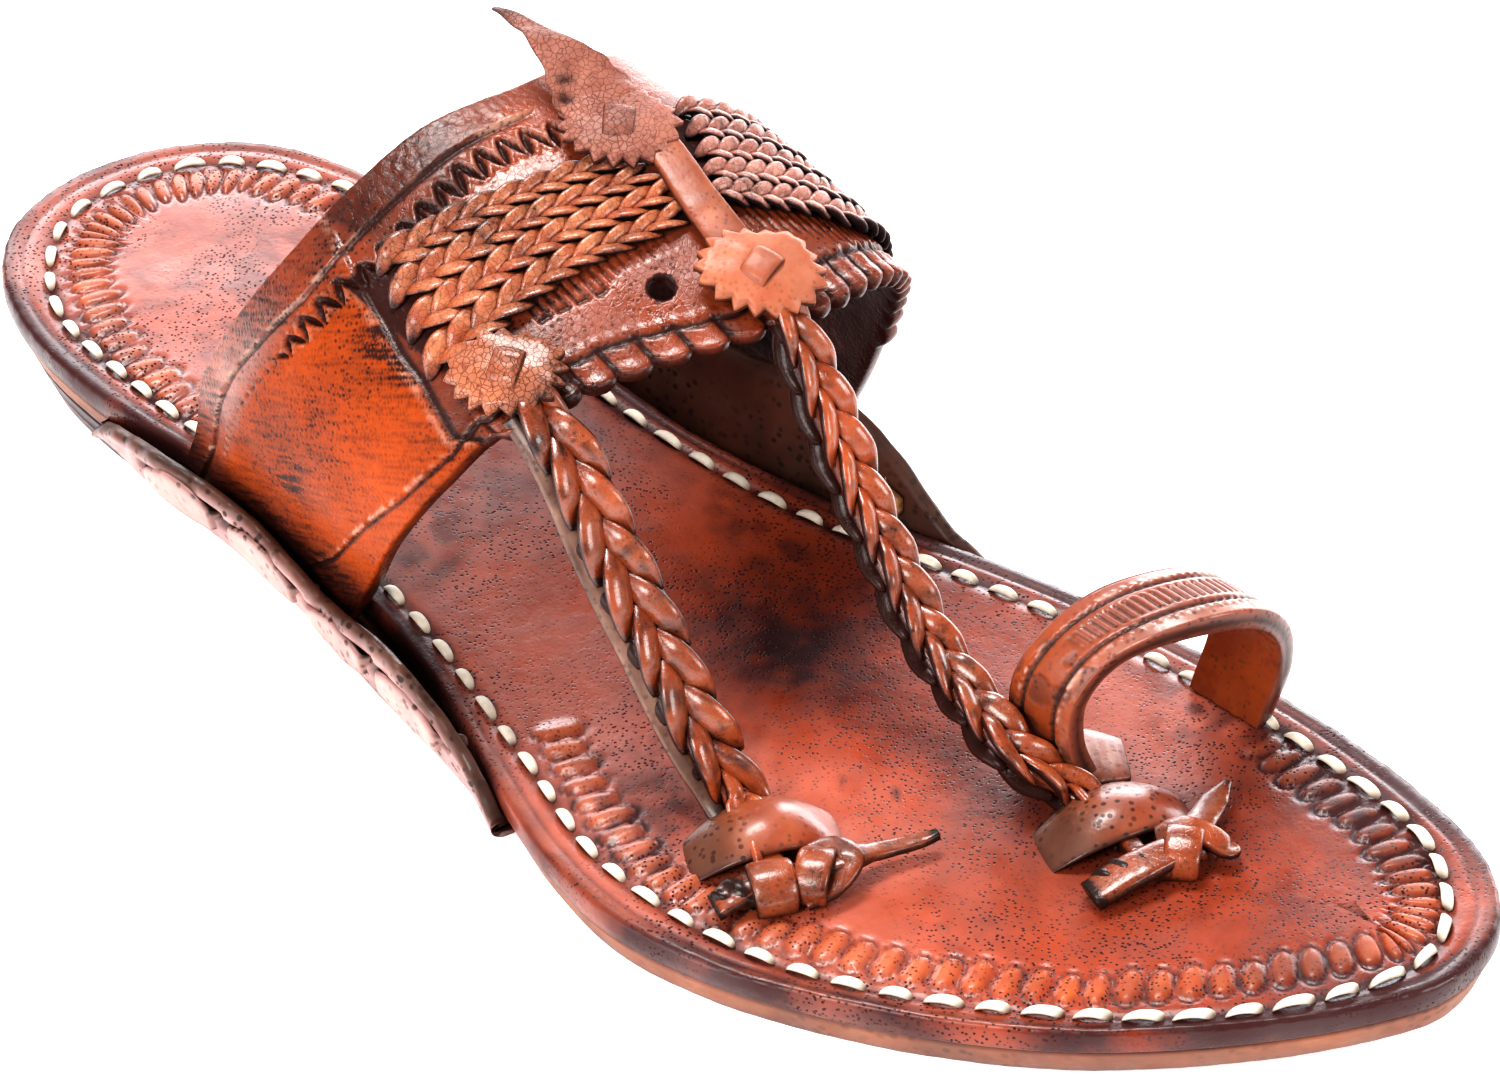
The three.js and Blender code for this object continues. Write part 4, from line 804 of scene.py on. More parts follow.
# The instep band: one wide wall of leather over the foot, its legs held at the sole. It is tooled with
# stamps and hems, has a brushed side panel sewn on, scalloped front edges and two punched holes.
SPAN, INSTEP, BOW = 75.0, 62.0, 1.4
BAND = np.array([    # front edge across, along, up and back edge the same, shares of span and instep
    (-0.452, 26.0, 0.150, -0.436, 63.0, 0.264), (-0.458, 20.0, 0.306, -0.446, 58.5, 0.400),
    (-0.484, 11.0, 0.532, -0.470, 52.5, 0.625), (-0.464, 1.5, 0.758, -0.448, 45.0, 0.838),
    (-0.393, -3.4, 0.890, -0.373, 39.0, 1.010), (-0.267, -6.4, 0.943, -0.260, 36.0, 1.130),
    (-0.107, -10.2, 0.965, -0.107, 34.0, 1.215), (0.053, -15.4, 0.986, 0.053, 31.0, 1.238),
    (0.213, -19.0, 1.000, 0.213, 28.5, 1.246), (0.353, -18.5, 0.980, 0.345, 28.0, 1.188),
    (0.446, -16.0, 0.893, 0.431, 30.5, 1.050), (0.496, -11.0, 0.738, 0.477, 35.5, 0.860),
    (0.524, -4.5, 0.510, 0.493, 41.0, 0.620), (0.530, 1.5, 0.310, 0.485, 45.0, 0.400),
    (0.527, 5.0, 0.175, 0.470, 47.0, 0.230)]) * (SPAN, 1, INSTEP, SPAN, 1, INSTEP)
ROWS = len(BAND) - 1
fine = np.linspace(0, 1, 2801)
front_line, back_line = curve(BAND[:, :3], fine), curve(BAND[:, 3:], fine)
edges = np.hstack([front_line, back_line, np.gradient(front_line, axis=0), np.gradient(back_line, axis=0)])


def on_band(u, v, h):
    """A place on the band: u in rows of its table, v from its front (0) to its back edge (1), h out."""
    u, v = np.broadcast_arrays(np.asarray(u, float), np.asarray(v, float))
    e = np.stack([np.interp(u / ROWS, fine, edges[:, i]) for i in range(12)], -1)
    w = v[..., None]
    middle = e[..., :3] * (1 - w) + e[..., 3:6] * w
    normal = np.cross(e[..., 6:9] * (1 - w) + e[..., 9:] * w, e[..., 3:6] - e[..., :3])
    normal /= np.linalg.norm(normal, axis=-1, keepdims=True)
    normal *= np.where((normal * (middle - (2, 15, 20))).sum(-1, keepdims=True) < 0, -1, 1)
    bow = BOW * 4 * v * (1 - v) * smooth(0, 2.8, u) * smooth(14, 11.2, u)
    return middle + normal * (h + bow)[..., None]


def mm_along(u):
    """Distance along the band's middle from u = 0, in millimetres."""
    return np.interp(u, MM_U, MM_S)


MM_U = np.linspace(0, 14, 281)
steps_mm = np.linalg.norm(np.diff(on_band(MM_U, 0.5 + 0 * MM_U, 0 * MM_U), axis=0), axis=1)
MM_S = np.concatenate([[0], np.cumsum(steps_mm)])
WIDE = 48.0                          # millimetres from front to back edge, for the sizes of tooling

NEAR_FAN = np.array([(3.0, 0.27, 0.76), (4.1, 0.30, 0.72), (5.0, 0.325, 0.675), (6.0, 0.365, 0.635),
                     (7.35, 0.385, 0.625)])
FAR_FAN = np.array([(7.8, 0.415, 0.735), (8.5, 0.30, 0.70), (9.2, 0.18, 0.61), (11.3, 0.13, 0.55)])
SEAM_LINE = np.array([(0.0, 3.80), (0.075, 3.60), (0.175, 3.73), (0.295, 3.88), (0.415, 3.95),
                      (0.525, 4.07),
                      (0.625, 4.17), (0.75, 4.3), (1.0, 4.6)])
ZIGZAG = np.array([(2.2, 0.765), (3.17, 0.745), (3.92, 0.745), (4.55, 0.725), (5.17, 0.745), (6.0, 0.79),
                   (6.65, 0.81), (7.07, 0.79)])
SCUFFED = np.array([(0.3, 0.90), (2.42, 0.88), (3.7, 0.83), (4.58, 0.855), (5.65, 0.87), (7.0, 0.9)])
PANEL_TOP = np.array([(0.0, 0.86), (2.08, 0.785), (3.10, 0.75), (4.2, 0.72)])
HEM = np.array([(0.0, 0.30), (0.95, 0.185), (2.57, 0.06), (3.47, 0.03), (4.0, 0.06), (5.75, 0.085),
                (6.5, 0.07),
                (7.07, 0.06), (8.2, 0.10), (9.1, 0.09), (11.0, 0.09), (12.0, 0.08), (14, 0.08)])
STAMPS = np.array([(5.2, 0.275), (5.65, 0.285), (6.12, 0.28), (6.38, 0.32), (6.72, 0.33), (7.05, 0.335)])
FAR_TICKS = np.array([(7.9, 0.335), (8.5, 0.225), (9.2, 0.115), (11.3, 0.065)])
SCALLOPS = np.array([(4.0, 0.0), (8.0, 9.8), (11.6, 20.8)])


def lookup(table, x, column=1):
    return np.interp(x, table[:, 0], table[:, column])


def tooling(u, v):
    """Height and masks of the band's tooling at (u, v)."""
    s = mm_along(u)
    seam = lookup(SEAM_LINE, v)
    off_seam = (u - seam) * 10.5
    panel = smooth(0.25, -0.25, off_seam)
    lift = 0.75 * panel * smooth(1.0, 0.8, v) + 0.15 * mottle(s * 0.18, v * 8, 1) - 0.07
    near = smooth(7.6, 7.3, u) * (1 - panel)
    shade_and_patina = 0.55 * bump_at(off_seam, 0.45, 0.5) * smooth(0.80, 0.72, v)
    # sewn edge of the panel: a line of short stitches a little inside it
    sewn = bump_at(off_seam, -1.6, 0.35) * smooth(0.75, 0.7, v) * smooth(0.0, 0.05, v)
    lift = lift - 0.28 * sewn * (0.6 + 0.4 * np.sin(v * WIDE * 3.4))
    rubbed = 0.7 * bump_at(off_seam, -0.7, 0.6) * mottle(v * 40, u, 3)
    # hems: a seam along the front edge and one along the back edge, scuffed pale
    hem = (v - lookup(HEM, u)) * WIDE
    pulled = 0.55 + 0.45 * np.sin(s * 2.9)
    lift = (lift - 0.42 * bump_at(hem, 0, 0.38) * (0.55 + 0.45 * pulled)
            + 0.28 * bump_at(hem, 0.9, 0.6) * pulled)
    shade_and_patina = shade_and_patina + 0.75 * bump_at(hem, 0, 0.42)
    rubbed = (rubbed + 0.75 * bump_at(hem, 0.8, 0.5) * smooth(0.35, 0.7, mottle(s * 0.9, v * 30, 4))
              * smooth(4.2, 3.6, u))
    scuff = (v - lookup(SCUFFED, u)) * WIDE
    on_near = smooth(7.2, 6.8, u)
    lift = lift + on_near * (0.35 * smooth(-0.2, 0.3, scuff) - 0.3 * bump_at(scuff, -0.35, 0.35))
    rubbed = (rubbed + on_near * 0.95 * bump_at(scuff, 0.15, 0.4)
              * smooth(0.25, 0.6, mottle(s * 0.5, v * 9, 9)))
    shade_and_patina = shade_and_patina + on_near * 0.45 * bump_at(scuff, -0.4, 0.5)
    top_seam = (v - lookup(PANEL_TOP, u)) * WIDE
    dotted = (smooth(0.2, 0.9, np.sin(s * 2.6)) * bump_at(top_seam, 0, 0.5) * smooth(3.5, 3.1, u)
              * smooth(0.9, 1.4, u))
    lift = lift - 0.35 * dotted
    shade_and_patina, rubbed = shade_and_patina + 0.5 * dotted, rubbed + 0.7 * dotted
    # row of slanting leaf-shaped stamps under the back hem, two to a peak
    zig = (v - lookup(ZIGZAG, u)) * WIDE
    turn = s / 3.7
    peak = turn - np.floor(turn) - 0.5
    size = 2.6 * smooth(2.5, 3.6, u) * smooth(7.4, 7.1, u) + 0.01
    height = np.clip((zig + size) / (2 * size), 0, 1)
    # the two strokes of a peak meet at its top; each is a lens, widest half way up
    off = (np.abs(peak) - 0.40 * (1 - height) - 0.04) * 3.7 * 0.8
    lens = 0.50 * np.sin(np.pi * height) ** 0.7 * smooth(0.3, 1.6, size)
    within = (zig > -size) & (zig < size)
    pit = smooth(lens + 0.12, lens - 0.3, np.abs(off)) * within
    rim = bump_at(np.abs(off), lens + 0.3, 0.26) * within * smooth(0.5, 1.6, size)
    lift = lift - 0.95 * pit * (0.75 + 0.5 * mottle(s * 1.7, v * 60, 23)) + 0.38 * rim
    shade_and_patina = shade_and_patina + 0.95 * pit
    rubbed = rubbed + 0.5 * rim * mottle(s * 1.3, v * 50, 24)
    # U stamps that thin out into ticks in front of the near plaits, and fine ticks before the far ones
    row = (v - lookup(STAMPS, u)) * WIDE
    size = np.interp(u, [5.2, 6.2, 6.5, 7.1], [2.2, 2.2, 1.8, 1.7])
    inside = smooth(1.15, 0.95, np.abs(row) / size) * smooth(5.25, 5.4, u) * smooth(7.2, 7.1, u)
    deep = np.interp(u, [5.3, 6.2, 6.5, 7.1], [1.0, 0.8, 0.45, 0.3])
    turn = s / 1.45
    tick = bump_at(turn - np.round(turn), 0, 0.17) * inside
    pair = np.mod(np.floor(turn), 2) < 1
    foot = bump_at(np.abs(row + size * 0.85), 0, 0.4) * np.where(pair, 1, 0) * inside * smooth(6.4, 6.1, u)
    lift = lift - 0.5 * deep * np.maximum(tick, foot)
    shade_and_patina = shade_and_patina + 0.85 * deep * np.maximum(tick, foot)
    far_row = (v - lookup(FAR_TICKS, u)) * WIDE
    turn = s / 1.25 + far_row * 0.12
    tick = (bump_at(turn - np.round(turn), 0, 0.16) * smooth(2.6, 2.2, np.abs(far_row))
            * smooth(7.85, 8.0, u) * smooth(11.4, 11, u))
    lift = lift - 0.28 * tick
    shade_and_patina = shade_and_patina + 0.55 * tick
    # scallops: every leaf of the front edge is puffed and parted from the next by a cut
    turn = lookup(SCALLOPS, u)
    leaf = np.abs(np.sin(np.pi * turn))
    edged = smooth(0.4, -0.6, hem) * smooth(3.95, 4.05, u) * smooth(11.7, 11.5, u)
    lift = lift + edged * (0.75 * leaf ** 0.7 - 0.55 + 0.25 * smooth(-2.0, -3.6, hem))
    shade_and_patina = shade_and_patina + edged * (0.95 * smooth(0.42, 0.1, leaf) + 0.2 * smooth(-3.0, -4.0, hem))
    # brushed leather of the side panel, crackled dark gloss behind the stamps
    q = s * 0.80 + v * WIDE * 0.60
    along = s * -0.60 + v * WIDE * 0.80
    streak = mottle(q * 3.6, along * 0.22, 11) * 0.5 + mottle(q * 7.5, along * 0.4, 12) * 0.5
    smudge = smooth(0.55, 0.85, mottle(s * 0.09 + 3, v * 4.2, 13))
    shade_and_patina = shade_and_patina + panel * (0.34 * smooth(0.5, 0.75, streak) + 0.45 * smudge * smooth(0.3, 0.6, streak))
    lift = lift - panel * 0.06 * streak
    bend = smooth(1.5, 0.4, u) * 0.5
    crackled = smooth(0.82, 0.9, v) * smooth(3.0, 4.5, u) * smooth(7.4, 6.8, u)
    lift = lift + crackled * 0.10 * (mottle(s * 1.1, v * 40, 15) + mottle(s * 2.2, v * 80, 16) - 1)
    shade_and_patina = shade_and_patina + 0.15 * crackled + bend + 0.3 * near * smooth(0.55, 0.75, mottle(s * 0.12, v * 5, 17))
    # the band under the plaited rows is painted in shade, so the gaps between their passes look dark
    for fan, first, last in ((NEAR_FAN, 4.1, 7.4), (FAR_FAN, 7.8, 11.3)):
        low, high = lookup(fan, u) * WIDE - 2.2, lookup(fan, u, 2) * WIDE + 2.2
        shade_and_patina = shade_and_patina + 0.75 * (smooth(low, low + 1.5, v * WIDE) * smooth(high, high - 1.5, v * WIDE)
                                  * smooth(first, first + 0.1, u) * smooth(last + 0.1, last, u))
    orange = panel * smooth(0.86, 0.74, v) * smooth(0.4, 1.3, u)
    return lift, {"shade_and_patina": shade_and_patina, "rubbed": rubbed, "tint": np.clip(orange, 0, 1)}


def scallop(u):
    leaf = np.abs(np.sin(np.pi * lookup(SCALLOPS, u)))
    size = np.interp(u, [4, 8, 8.4, 11.6], [0.034, 0.034, 0.028, 0.026])
    return -size * (leaf ** 0.6) * smooth(3.95, 4.05, u) * smooth(11.7, 11.55, u)


OUT_ROWS, EDGE_ROWS, IN_ROWS = 138, 4, 26


def band_form(u, v):
    rows = OUT_ROWS + IN_ROWS + 2 * EDGE_ROWS
    at, along = v * rows, u * ROWS
    outer = np.clip(at / OUT_ROWS, 0, 1)
    inner = np.clip(1 - (at - OUT_ROWS - EDGE_ROWS) / IN_ROWS, 0, 1)
    back = np.clip((at - OUT_ROWS) / EDGE_ROWS, 0, 1)
    front = np.clip((at - rows + EDGE_ROWS) / EDGE_ROWS, 0, 1)
    is_outer = at <= OUT_ROWS
    across = np.where(is_outer, outer, inner)
    # a rounded rim joins the wall's two faces at either edge
    rim = np.where(front > 0, 1 - front, back)
    lift, masks = tooling(along, across)
    lift = lift * np.where(is_outer, 1, 0) + np.where(is_outer, 0, lift * (1 - rim))
    h = np.where(is_outer, lift, -WALL * (1 - np.cos(np.pi * np.where((back > 0) | (front > 0), rim, 1)))
                 / 2 + lift)
    bulge = 0.45 * np.sin(np.pi * rim) * np.where(is_outer, 0, 1)
    across = across + np.where(across > 0.5, bulge, -bulge) / WIDE
    reach = scallop(along)
    across = across + reach * smooth(0.16, 0.0, across)
    # the inner face is painted in shade
    inside = np.where(is_outer, 0, smooth(0.2, 1, rim))
    masks["shade_and_patina"] = np.where(inside > 0, 0.45 + 0.55 * inside
                               * (0.6 + 0.4 * mottle(along * 2, across * 6, 21)), masks["shade_and_patina"])
    masks["rubbed"] = np.where(inside > 0, 0, masks["rubbed"])
    return on_band(along, across, h), masks


def punched(piece, u, v, radius):
    """A hole punched through the band at (u, v): its wall joins the two faces."""
    middle, top = on_band([u], [v], np.array([0.0]))[0], on_band([u], [v], np.array([4.0]))[0]
    axis = Vector(top - middle).normalized()
    centre = Vector(to_frame(middle))
    bm = bmesh.new()
    bm.from_mesh(piece.data)

    def off_axis(point):
        d = point - centre
        return d - axis * d.dot(axis)

    near_it = [f for f in bm.faces if (f.calc_center_median() - centre).length < 0.012]
    gone = [f for f in near_it if off_axis(f.calc_center_median()).length < radius * MM]
    bmesh.ops.delete(bm, geom=gone, context="FACES")
    rim = [e for e in bm.edges if e.is_boundary and (e.verts[0].co - centre).length < 0.012]
    for vert in {w for e in rim for w in e.verts}:
        d = off_axis(vert.co)
        vert.co += d.normalized() * (radius * MM) - d
    made = bmesh.ops.bridge_loops(bm, edges=rim)
    # the wall of the hole is painted in shade
    shade_and_patina = bm.verts.layers.float["shade_and_patina"]
    for vert in {w for f in made["faces"] for w in f.verts}:
        vert[shade_and_patina] = 0.9
    bmesh.ops.recalc_face_normals(bm, faces=bm.faces)
    bm.to_mesh(piece.data)
    bm.free()


band_paint = leather(
    "band_leather", (0.32, 0.052, 0.012), (0.030, 0.009, 0.007), (0.74, 0.44, 0.32),
    tint=(0.42, 0.062, 0.006),
    bump=0.55, coat=0.25, matte=0.9, cloud_size=34.0, cloud=0.6, pore_size=1100.0, pores=0.5,
    crackle_size=900.0,
    crackle=0.10, gloss=0.24)
band = laid("instep_band", [(520, OUT_ROWS + IN_ROWS + 2 * EDGE_ROWS, band_form)], band_paint,
            ends=True)
HOLES, HOLE_RADIUS = [(6.65, 0.195), (8.05, 0.19)], 1.9
for u, v in HOLES:
    punched(band, u, v, HOLE_RADIUS)
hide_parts("upper")


# The plaited rows: nine narrow plaits of three thin strands, laid side by side on the band, four on
# the outer side and five on the inner. Each is made as its visible passes, which lie like leaves in a
# herringbone. Their worn tops show tan, and the creases between them are painted in shade.
def path(points, ups):
    """A curve's places, way on, way across and up by share of its length, and the length."""
    share = np.linspace(0, 1, 900)
    p, n = curve(points, share), curve(ups, share)
    run_at = np.concatenate([[0], np.cumsum(np.linalg.norm(np.diff(p, axis=0), axis=1))])
    on = np.gradient(p, axis=0)
    on /= np.linalg.norm(on, axis=1, keepdims=True)
    side = np.cross(on, n)
    side /= np.linalg.norm(side, axis=1, keepdims=True)
    table = np.hstack([p, on, side, np.cross(side, on)])

    def at(t):
        d = np.clip(t, 0, 1) * run_at[-1]
        x = np.stack([np.interp(d, run_at, table[:, i]) for i in range(12)], -1)
        return x[..., :3], x[..., 3:6], x[..., 6:9], x[..., 9:]
    return at, run_at[-1]


plait_paint = leather(
    "plait_leather", (0.32, 0.056, 0.014), (0.020, 0.007, 0.005), (0.62, 0.22, 0.095), bump=0.35, coat=0.5,
    cloud_size=70.0, cloud=0.5, pore_size=1500.0, pores=0.3, crackle_size=1100.0, crackle=0.35, gloss=0.32)
# the far plaits are a paler, pinker copy of the plait leather: painted sheen of the light on the band's far
# side
far_plait_sheen_paint = leather(
    "far_plait_painted_sheen", (0.36, 0.11, 0.075), (0.020, 0.010, 0.010), (0.66, 0.34, 0.27), bump=0.35,
    coat=0.4,
    cloud_size=70.0, cloud=0.4, pore_size=1500.0, pores=0.3, crackle_size=1100.0, crackle=0.3, gloss=0.34)


def leaf_form(at, long, start, way, pitch, room, stretch, thick, seed):
    """One visible pass of a strand: from under the other side's pass, over the middle, out to the edge."""
    def form(u, v):
        reach = stretch * pitch
        wide = room(start + reach / 2)
        uneven = float(mottle(np.array([start * 0.7]), np.array([way * 3.0 + 9]), seed)[0]) - 0.5
        # the pass leaves the middle at a slant and bends to run along the edge
        out = 0.5 * v + 0.5 * np.sin(np.pi * v / 2)
        slope = 0.52 * wide * (0.5 + 0.5 * np.pi / 2 * np.cos(np.pi * v / 2)) / reach
        p, on, side, up = at((start + reach * v) / long)
        x = way * wide * (-0.11 + 0.52 * out + 0.03 * uneven)
        lean = 1 / np.hypot(1, slope)
        across = side * lean[:, None] - on * (way * slope * lean)[:, None]
        half = wide * (0.235 + 0.03 * uneven) * np.sin(np.pi * (0.03 + 0.94 * v)) ** 0.6
        body = thick * np.sin(np.pi * (0.04 + 0.92 * v)) ** 0.5
        a = 2 * np.pi * u
        c, s = np.cos(a), np.sin(a)
        high = thick * (1.5 * smooth(0.0, 0.42, v) - 1.1 * smooth(0.62, 1.0, v) + 0.2 * uneven)
        crown = rounded(s, 0.8) * body * (1 - 0.3 * c * c)
        flat_c = rounded(c, 0.85)
        points = (p + side * x[:, None] + across * (flat_c * half)[:, None]
                  + up * (high + crown + 0.42 * way * flat_c * half)[:, None])
        grain = mottle(v * 9 + start, c * 2 + 5, seed + 3)
        # the underside, the edges, the tucked start and the end of each pass are painted in shade; the
        # grain mottle is the leather's own
        masks = {"shade_and_patina": 0.95 * smooth(0.15, -0.25, s) + 0.75 * smooth(0.80, 0.98, np.abs(c))
                 + 0.6 * smooth(0.2, 0.0, v)
                 + 0.5 * smooth(0.86, 1, v) + 0.35 * smooth(0.55, 0.9, grain),
                 "rubbed": smooth(0.2, 0.9, s) * smooth(0.1, 0.4, v) * smooth(1.0, 0.7, v)
                 * (0.5 + 0.5 * grain)}
        return points, masks
    return form


def plait_of(at, long, room, grid, pitch, stretch, thick, seed):
    """All the visible passes on one face of a plait, out to either edge in turn."""
    count = int((long - stretch * pitch) / pitch * 2) + 1
    return [(*grid, leaf_form(at, long, i * pitch / 2, 1 if i % 2 else -1, pitch, room, stretch, thick,
                              seed))
            for i in range(count)]


def row_of(fan, rows, share, first, last, *plait):
    """A plaited row on the band, share of the way over its fan."""
    u = np.linspace(first, last, 24)
    v = lookup(fan, u) * (1 - share) + lookup(fan, u, 2) * share
    points = on_band(u, v, np.full_like(u, 0.35))
    at, long = path(points, on_band(u, v, np.full_like(u, 1.35)) - points)
    rooms = (lookup(fan, u, 2) - lookup(fan, u)) * WIDE / (rows - 1)
    room = lambda d: float(np.interp(d / long, np.linspace(0, 1, 24), rooms))
    return plait_of(at, long, room, (14, 18), *plait)


NEAR_ROWS, NEAR_PITCH, NEAR_STRETCH, NEAR_THICK = 4, 4.1, 1.75, 0.62
FAR_ROWS, FAR_PITCH, FAR_STRETCH, FAR_THICK = 5, 2.8, 1.7, 0.72
near_rows, far_rows = [], []
for i in range(NEAR_ROWS):
    near_rows += row_of(NEAR_FAN, NEAR_ROWS, i / (NEAR_ROWS - 1), 3.98 + 0.17 * i, 7.72 - 0.02 * i,
                        NEAR_PITCH, NEAR_STRETCH, NEAR_THICK, 30 + i)
for i in range(FAR_ROWS):
    far_rows += row_of(FAR_FAN, FAR_ROWS, i / (FAR_ROWS - 1), 7.74 + 0.14 * i, 11.3,
                       FAR_PITCH, FAR_STRETCH, FAR_THICK, 40 + i)
laid("near_plaits", near_rows, plait_paint, ends=True)
laid("far_plaits", far_rows, far_plait_sheen_paint, ends=True)

# The centre strip: a folded ribbon of brushed leather laid over the ends of the plaits, held down by
# the rosettes at both of its ends.
def ribbon_form(at, wide, thick, seed, square=0.6, dark_ends=0.0):
    """A flat strip with rounded edges along a path; wide and thick are tables over its length."""
    def form(u, v):
        p, _, side, up = at(v)
        w, t = np.interp(v, *np.transpose(wide)), np.interp(v, *np.transpose(thick))
        a = 2 * np.pi * u
        c, s = np.cos(a), np.sin(a)
        x = rounded(c, square) * w / 2
        z = rounded(s, square) * t / 2
        z = z + 0.12 * (mottle(v * 14, c + 2, seed) - 0.5)
        points = p + side * x[:, None] + up * z[:, None]
        lip = smooth(0.86, 1, np.abs(c))
        ends = dark_ends * (smooth(0.12, 0, v) + smooth(0.88, 1, v))
        # the underside is painted in shade, and so are the ends where the strip goes under or through
        # something
        masks = {"shade_and_patina": 0.45 * lip + ends + 0.5 * smooth(0.1, -0.6, s)
                 + 0.25 * mottle(v * 9, c * 2 + 5, seed + 1),
                 "rubbed": 0.6 * smooth(0.2, 0.9, s) * mottle(v * 12, c * 3 + 3, seed + 2), "tint": 0}
        return points, masks
    return form


def band_path(u, v, h):
    u, v, h = (np.asarray(x, float) for x in (u, v, h))
    points = on_band(u, v, h)
    return path(points, on_band(u, v, h + 1) - points)[0]


strip_paint = leather(
    "strip_leather", (0.34, 0.066, 0.018), (0.04, 0.012, 0.008), (0.56, 0.19, 0.09), bump=0.35, coat=0.2,
    cloud_size=90.0, cloud=0.35, pore_size=1200.0, pores=0.35, gloss=0.34)
strip_at = band_path([7.78, 7.72, 7.62, 7.55, 7.5], [0.68, 0.56, 0.42, 0.28, 0.14],
                     [2.0, 2.1, 2.1, 2.0, 2.0])
laid("centre_strip", [(28, 90, ribbon_form(strip_at, [(0, 5.0), (0.5, 5.6), (1, 6.2)], [(0, 1.6), (1, 1.6)],
                                         seed=50))], strip_paint, ends=True)


# The rosettes: discs cut with gear teeth, held on the band by a thong through two slits. The rear one
# has a long pointed tongue that runs back over the band's edge and curls up.
ROSETTES = {
    "rear_rosette": {"u": 7.52, "v": 0.7, "radius": 7.3, "teeth": 18, "high": 2.3, "turn": 0.9},
    "front_rosette": {"u": 7.5, "v": 0.1, "radius": 7.6, "teeth": 18, "high": 2.7, "turn": 0.5},
    "side_rosette": {"u": 4.64, "v": 0.11, "radius": 6.8, "teeth": 16, "high": 2.4, "turn": 0.7}}
ROSETTE_THICK, DOME, SLIT_REACH = 1.4, 0.8, 3.1
TONGUE = [    # back from the rosette's middle, aside, height, half width
    (1.0, 0.3, 3.0, 5.0), (6.0, 0.4, 3.9, 5.6), (9.0, 0.2, 5.2, 4.4), (12.0, 0.0, 6.5, 3.1),
    (15.0, -0.2, 7.2, 2.2),
    (18.0, -0.4, 7.6, 1.4), (21.5, -0.8, 7.3, 0.9), (24.6, -1.2, 6.8, 0.45)]


def around(r):
    """Places near a rosette: millimetres along the band, back over it and up."""
    lu = np.linalg.norm(on_band(r["u"] + 0.05, r["v"], 0.0) - on_band(r["u"] - 0.05, r["v"], 0.0)) / 0.1
    lv = np.linalg.norm(on_band(r["u"], r["v"] + 0.01, 0.0) - on_band(r["u"], r["v"] - 0.01, 0.0)) / 0.02
    return (lambda a, b, h: on_band(r["u"] + np.asarray(a, float) / lu, r["v"] + np.asarray(b, float) / lv,
                                    h))


def rosette_form(r, seed):
    put = around(r)

    def form(u, v):
        a = 2 * np.pi * u
        top = v < 0.66
        out = np.interp(v, [0, 0.6, 0.72, 1], [0, 1, 1, 0])
        rim = np.clip((v - 0.6) / 0.12, 0, 1)
        tooth = 1 - np.abs(np.mod(u * r["teeth"], 1) - 0.5) * 2
        depth = 0.17 * (1 + 0.25 * np.sin(a * 3 + seed))
        radius = r["radius"] * 1.03 * out * (1 - depth * (1 - tooth) * smooth(0.72, 1.0, out))
        radius = radius * (1 + 0.03 * np.sin(2 * a + seed) + 0.02 * np.sin(5 * a + seed * 2))
        wave = (0.45 * np.sin(2 * a + seed) + 0.25 * np.sin(5 * a + 2 * seed)) * out ** 3
        wave = (wave + 0.35 * (mottle(np.cos(a) * radius * 0.35 + 20, np.sin(a) * radius * 0.35 + 20, seed)
                               - 0.5))
        droop = -0.5 * smooth(0.8, 1.0, out) * tooth
        h = r["high"] + DOME * (1 - out ** 2) + wave + droop + ROSETTE_THICK * (1 - rim)
        x, y = radius * np.cos(a), radius * np.sin(a)
        # the underside of the disc is painted in shade
        masks = {"shade_and_patina": np.where(top, 0.25 * smooth(0.85, 1, out) * (1 - tooth), 0.7),
                 "rubbed": np.where(top, 0.5 + 0.3 * smooth(0.9, 1.0, out), 0.15 * (1 - rim))}
        return put(x, y, h), masks
    return form


def slit_thong(r, seed):
    """The thong that holds a rosette: it comes up through one slit and goes down through the other."""
    put, turn = around(r), r["turn"]
    t = np.linspace(-1, 1, 9)
    x, y = t * SLIT_REACH * math.cos(turn), t * SLIT_REACH * math.sin(turn)
    high = r["high"] + ROSETTE_THICK + DOME + 0.15 - 2.2 * np.abs(t) ** 5
    points = put(x, y, high)
    ups = put(x, y, high + 1) - points
    at = path(points, ups)[0]
    return (20, 40, ribbon_form(at, [(0, 4.2), (1, 4.4)], [(0, 1.1), (1, 1.1)], dark_ends=0.6, seed=seed))


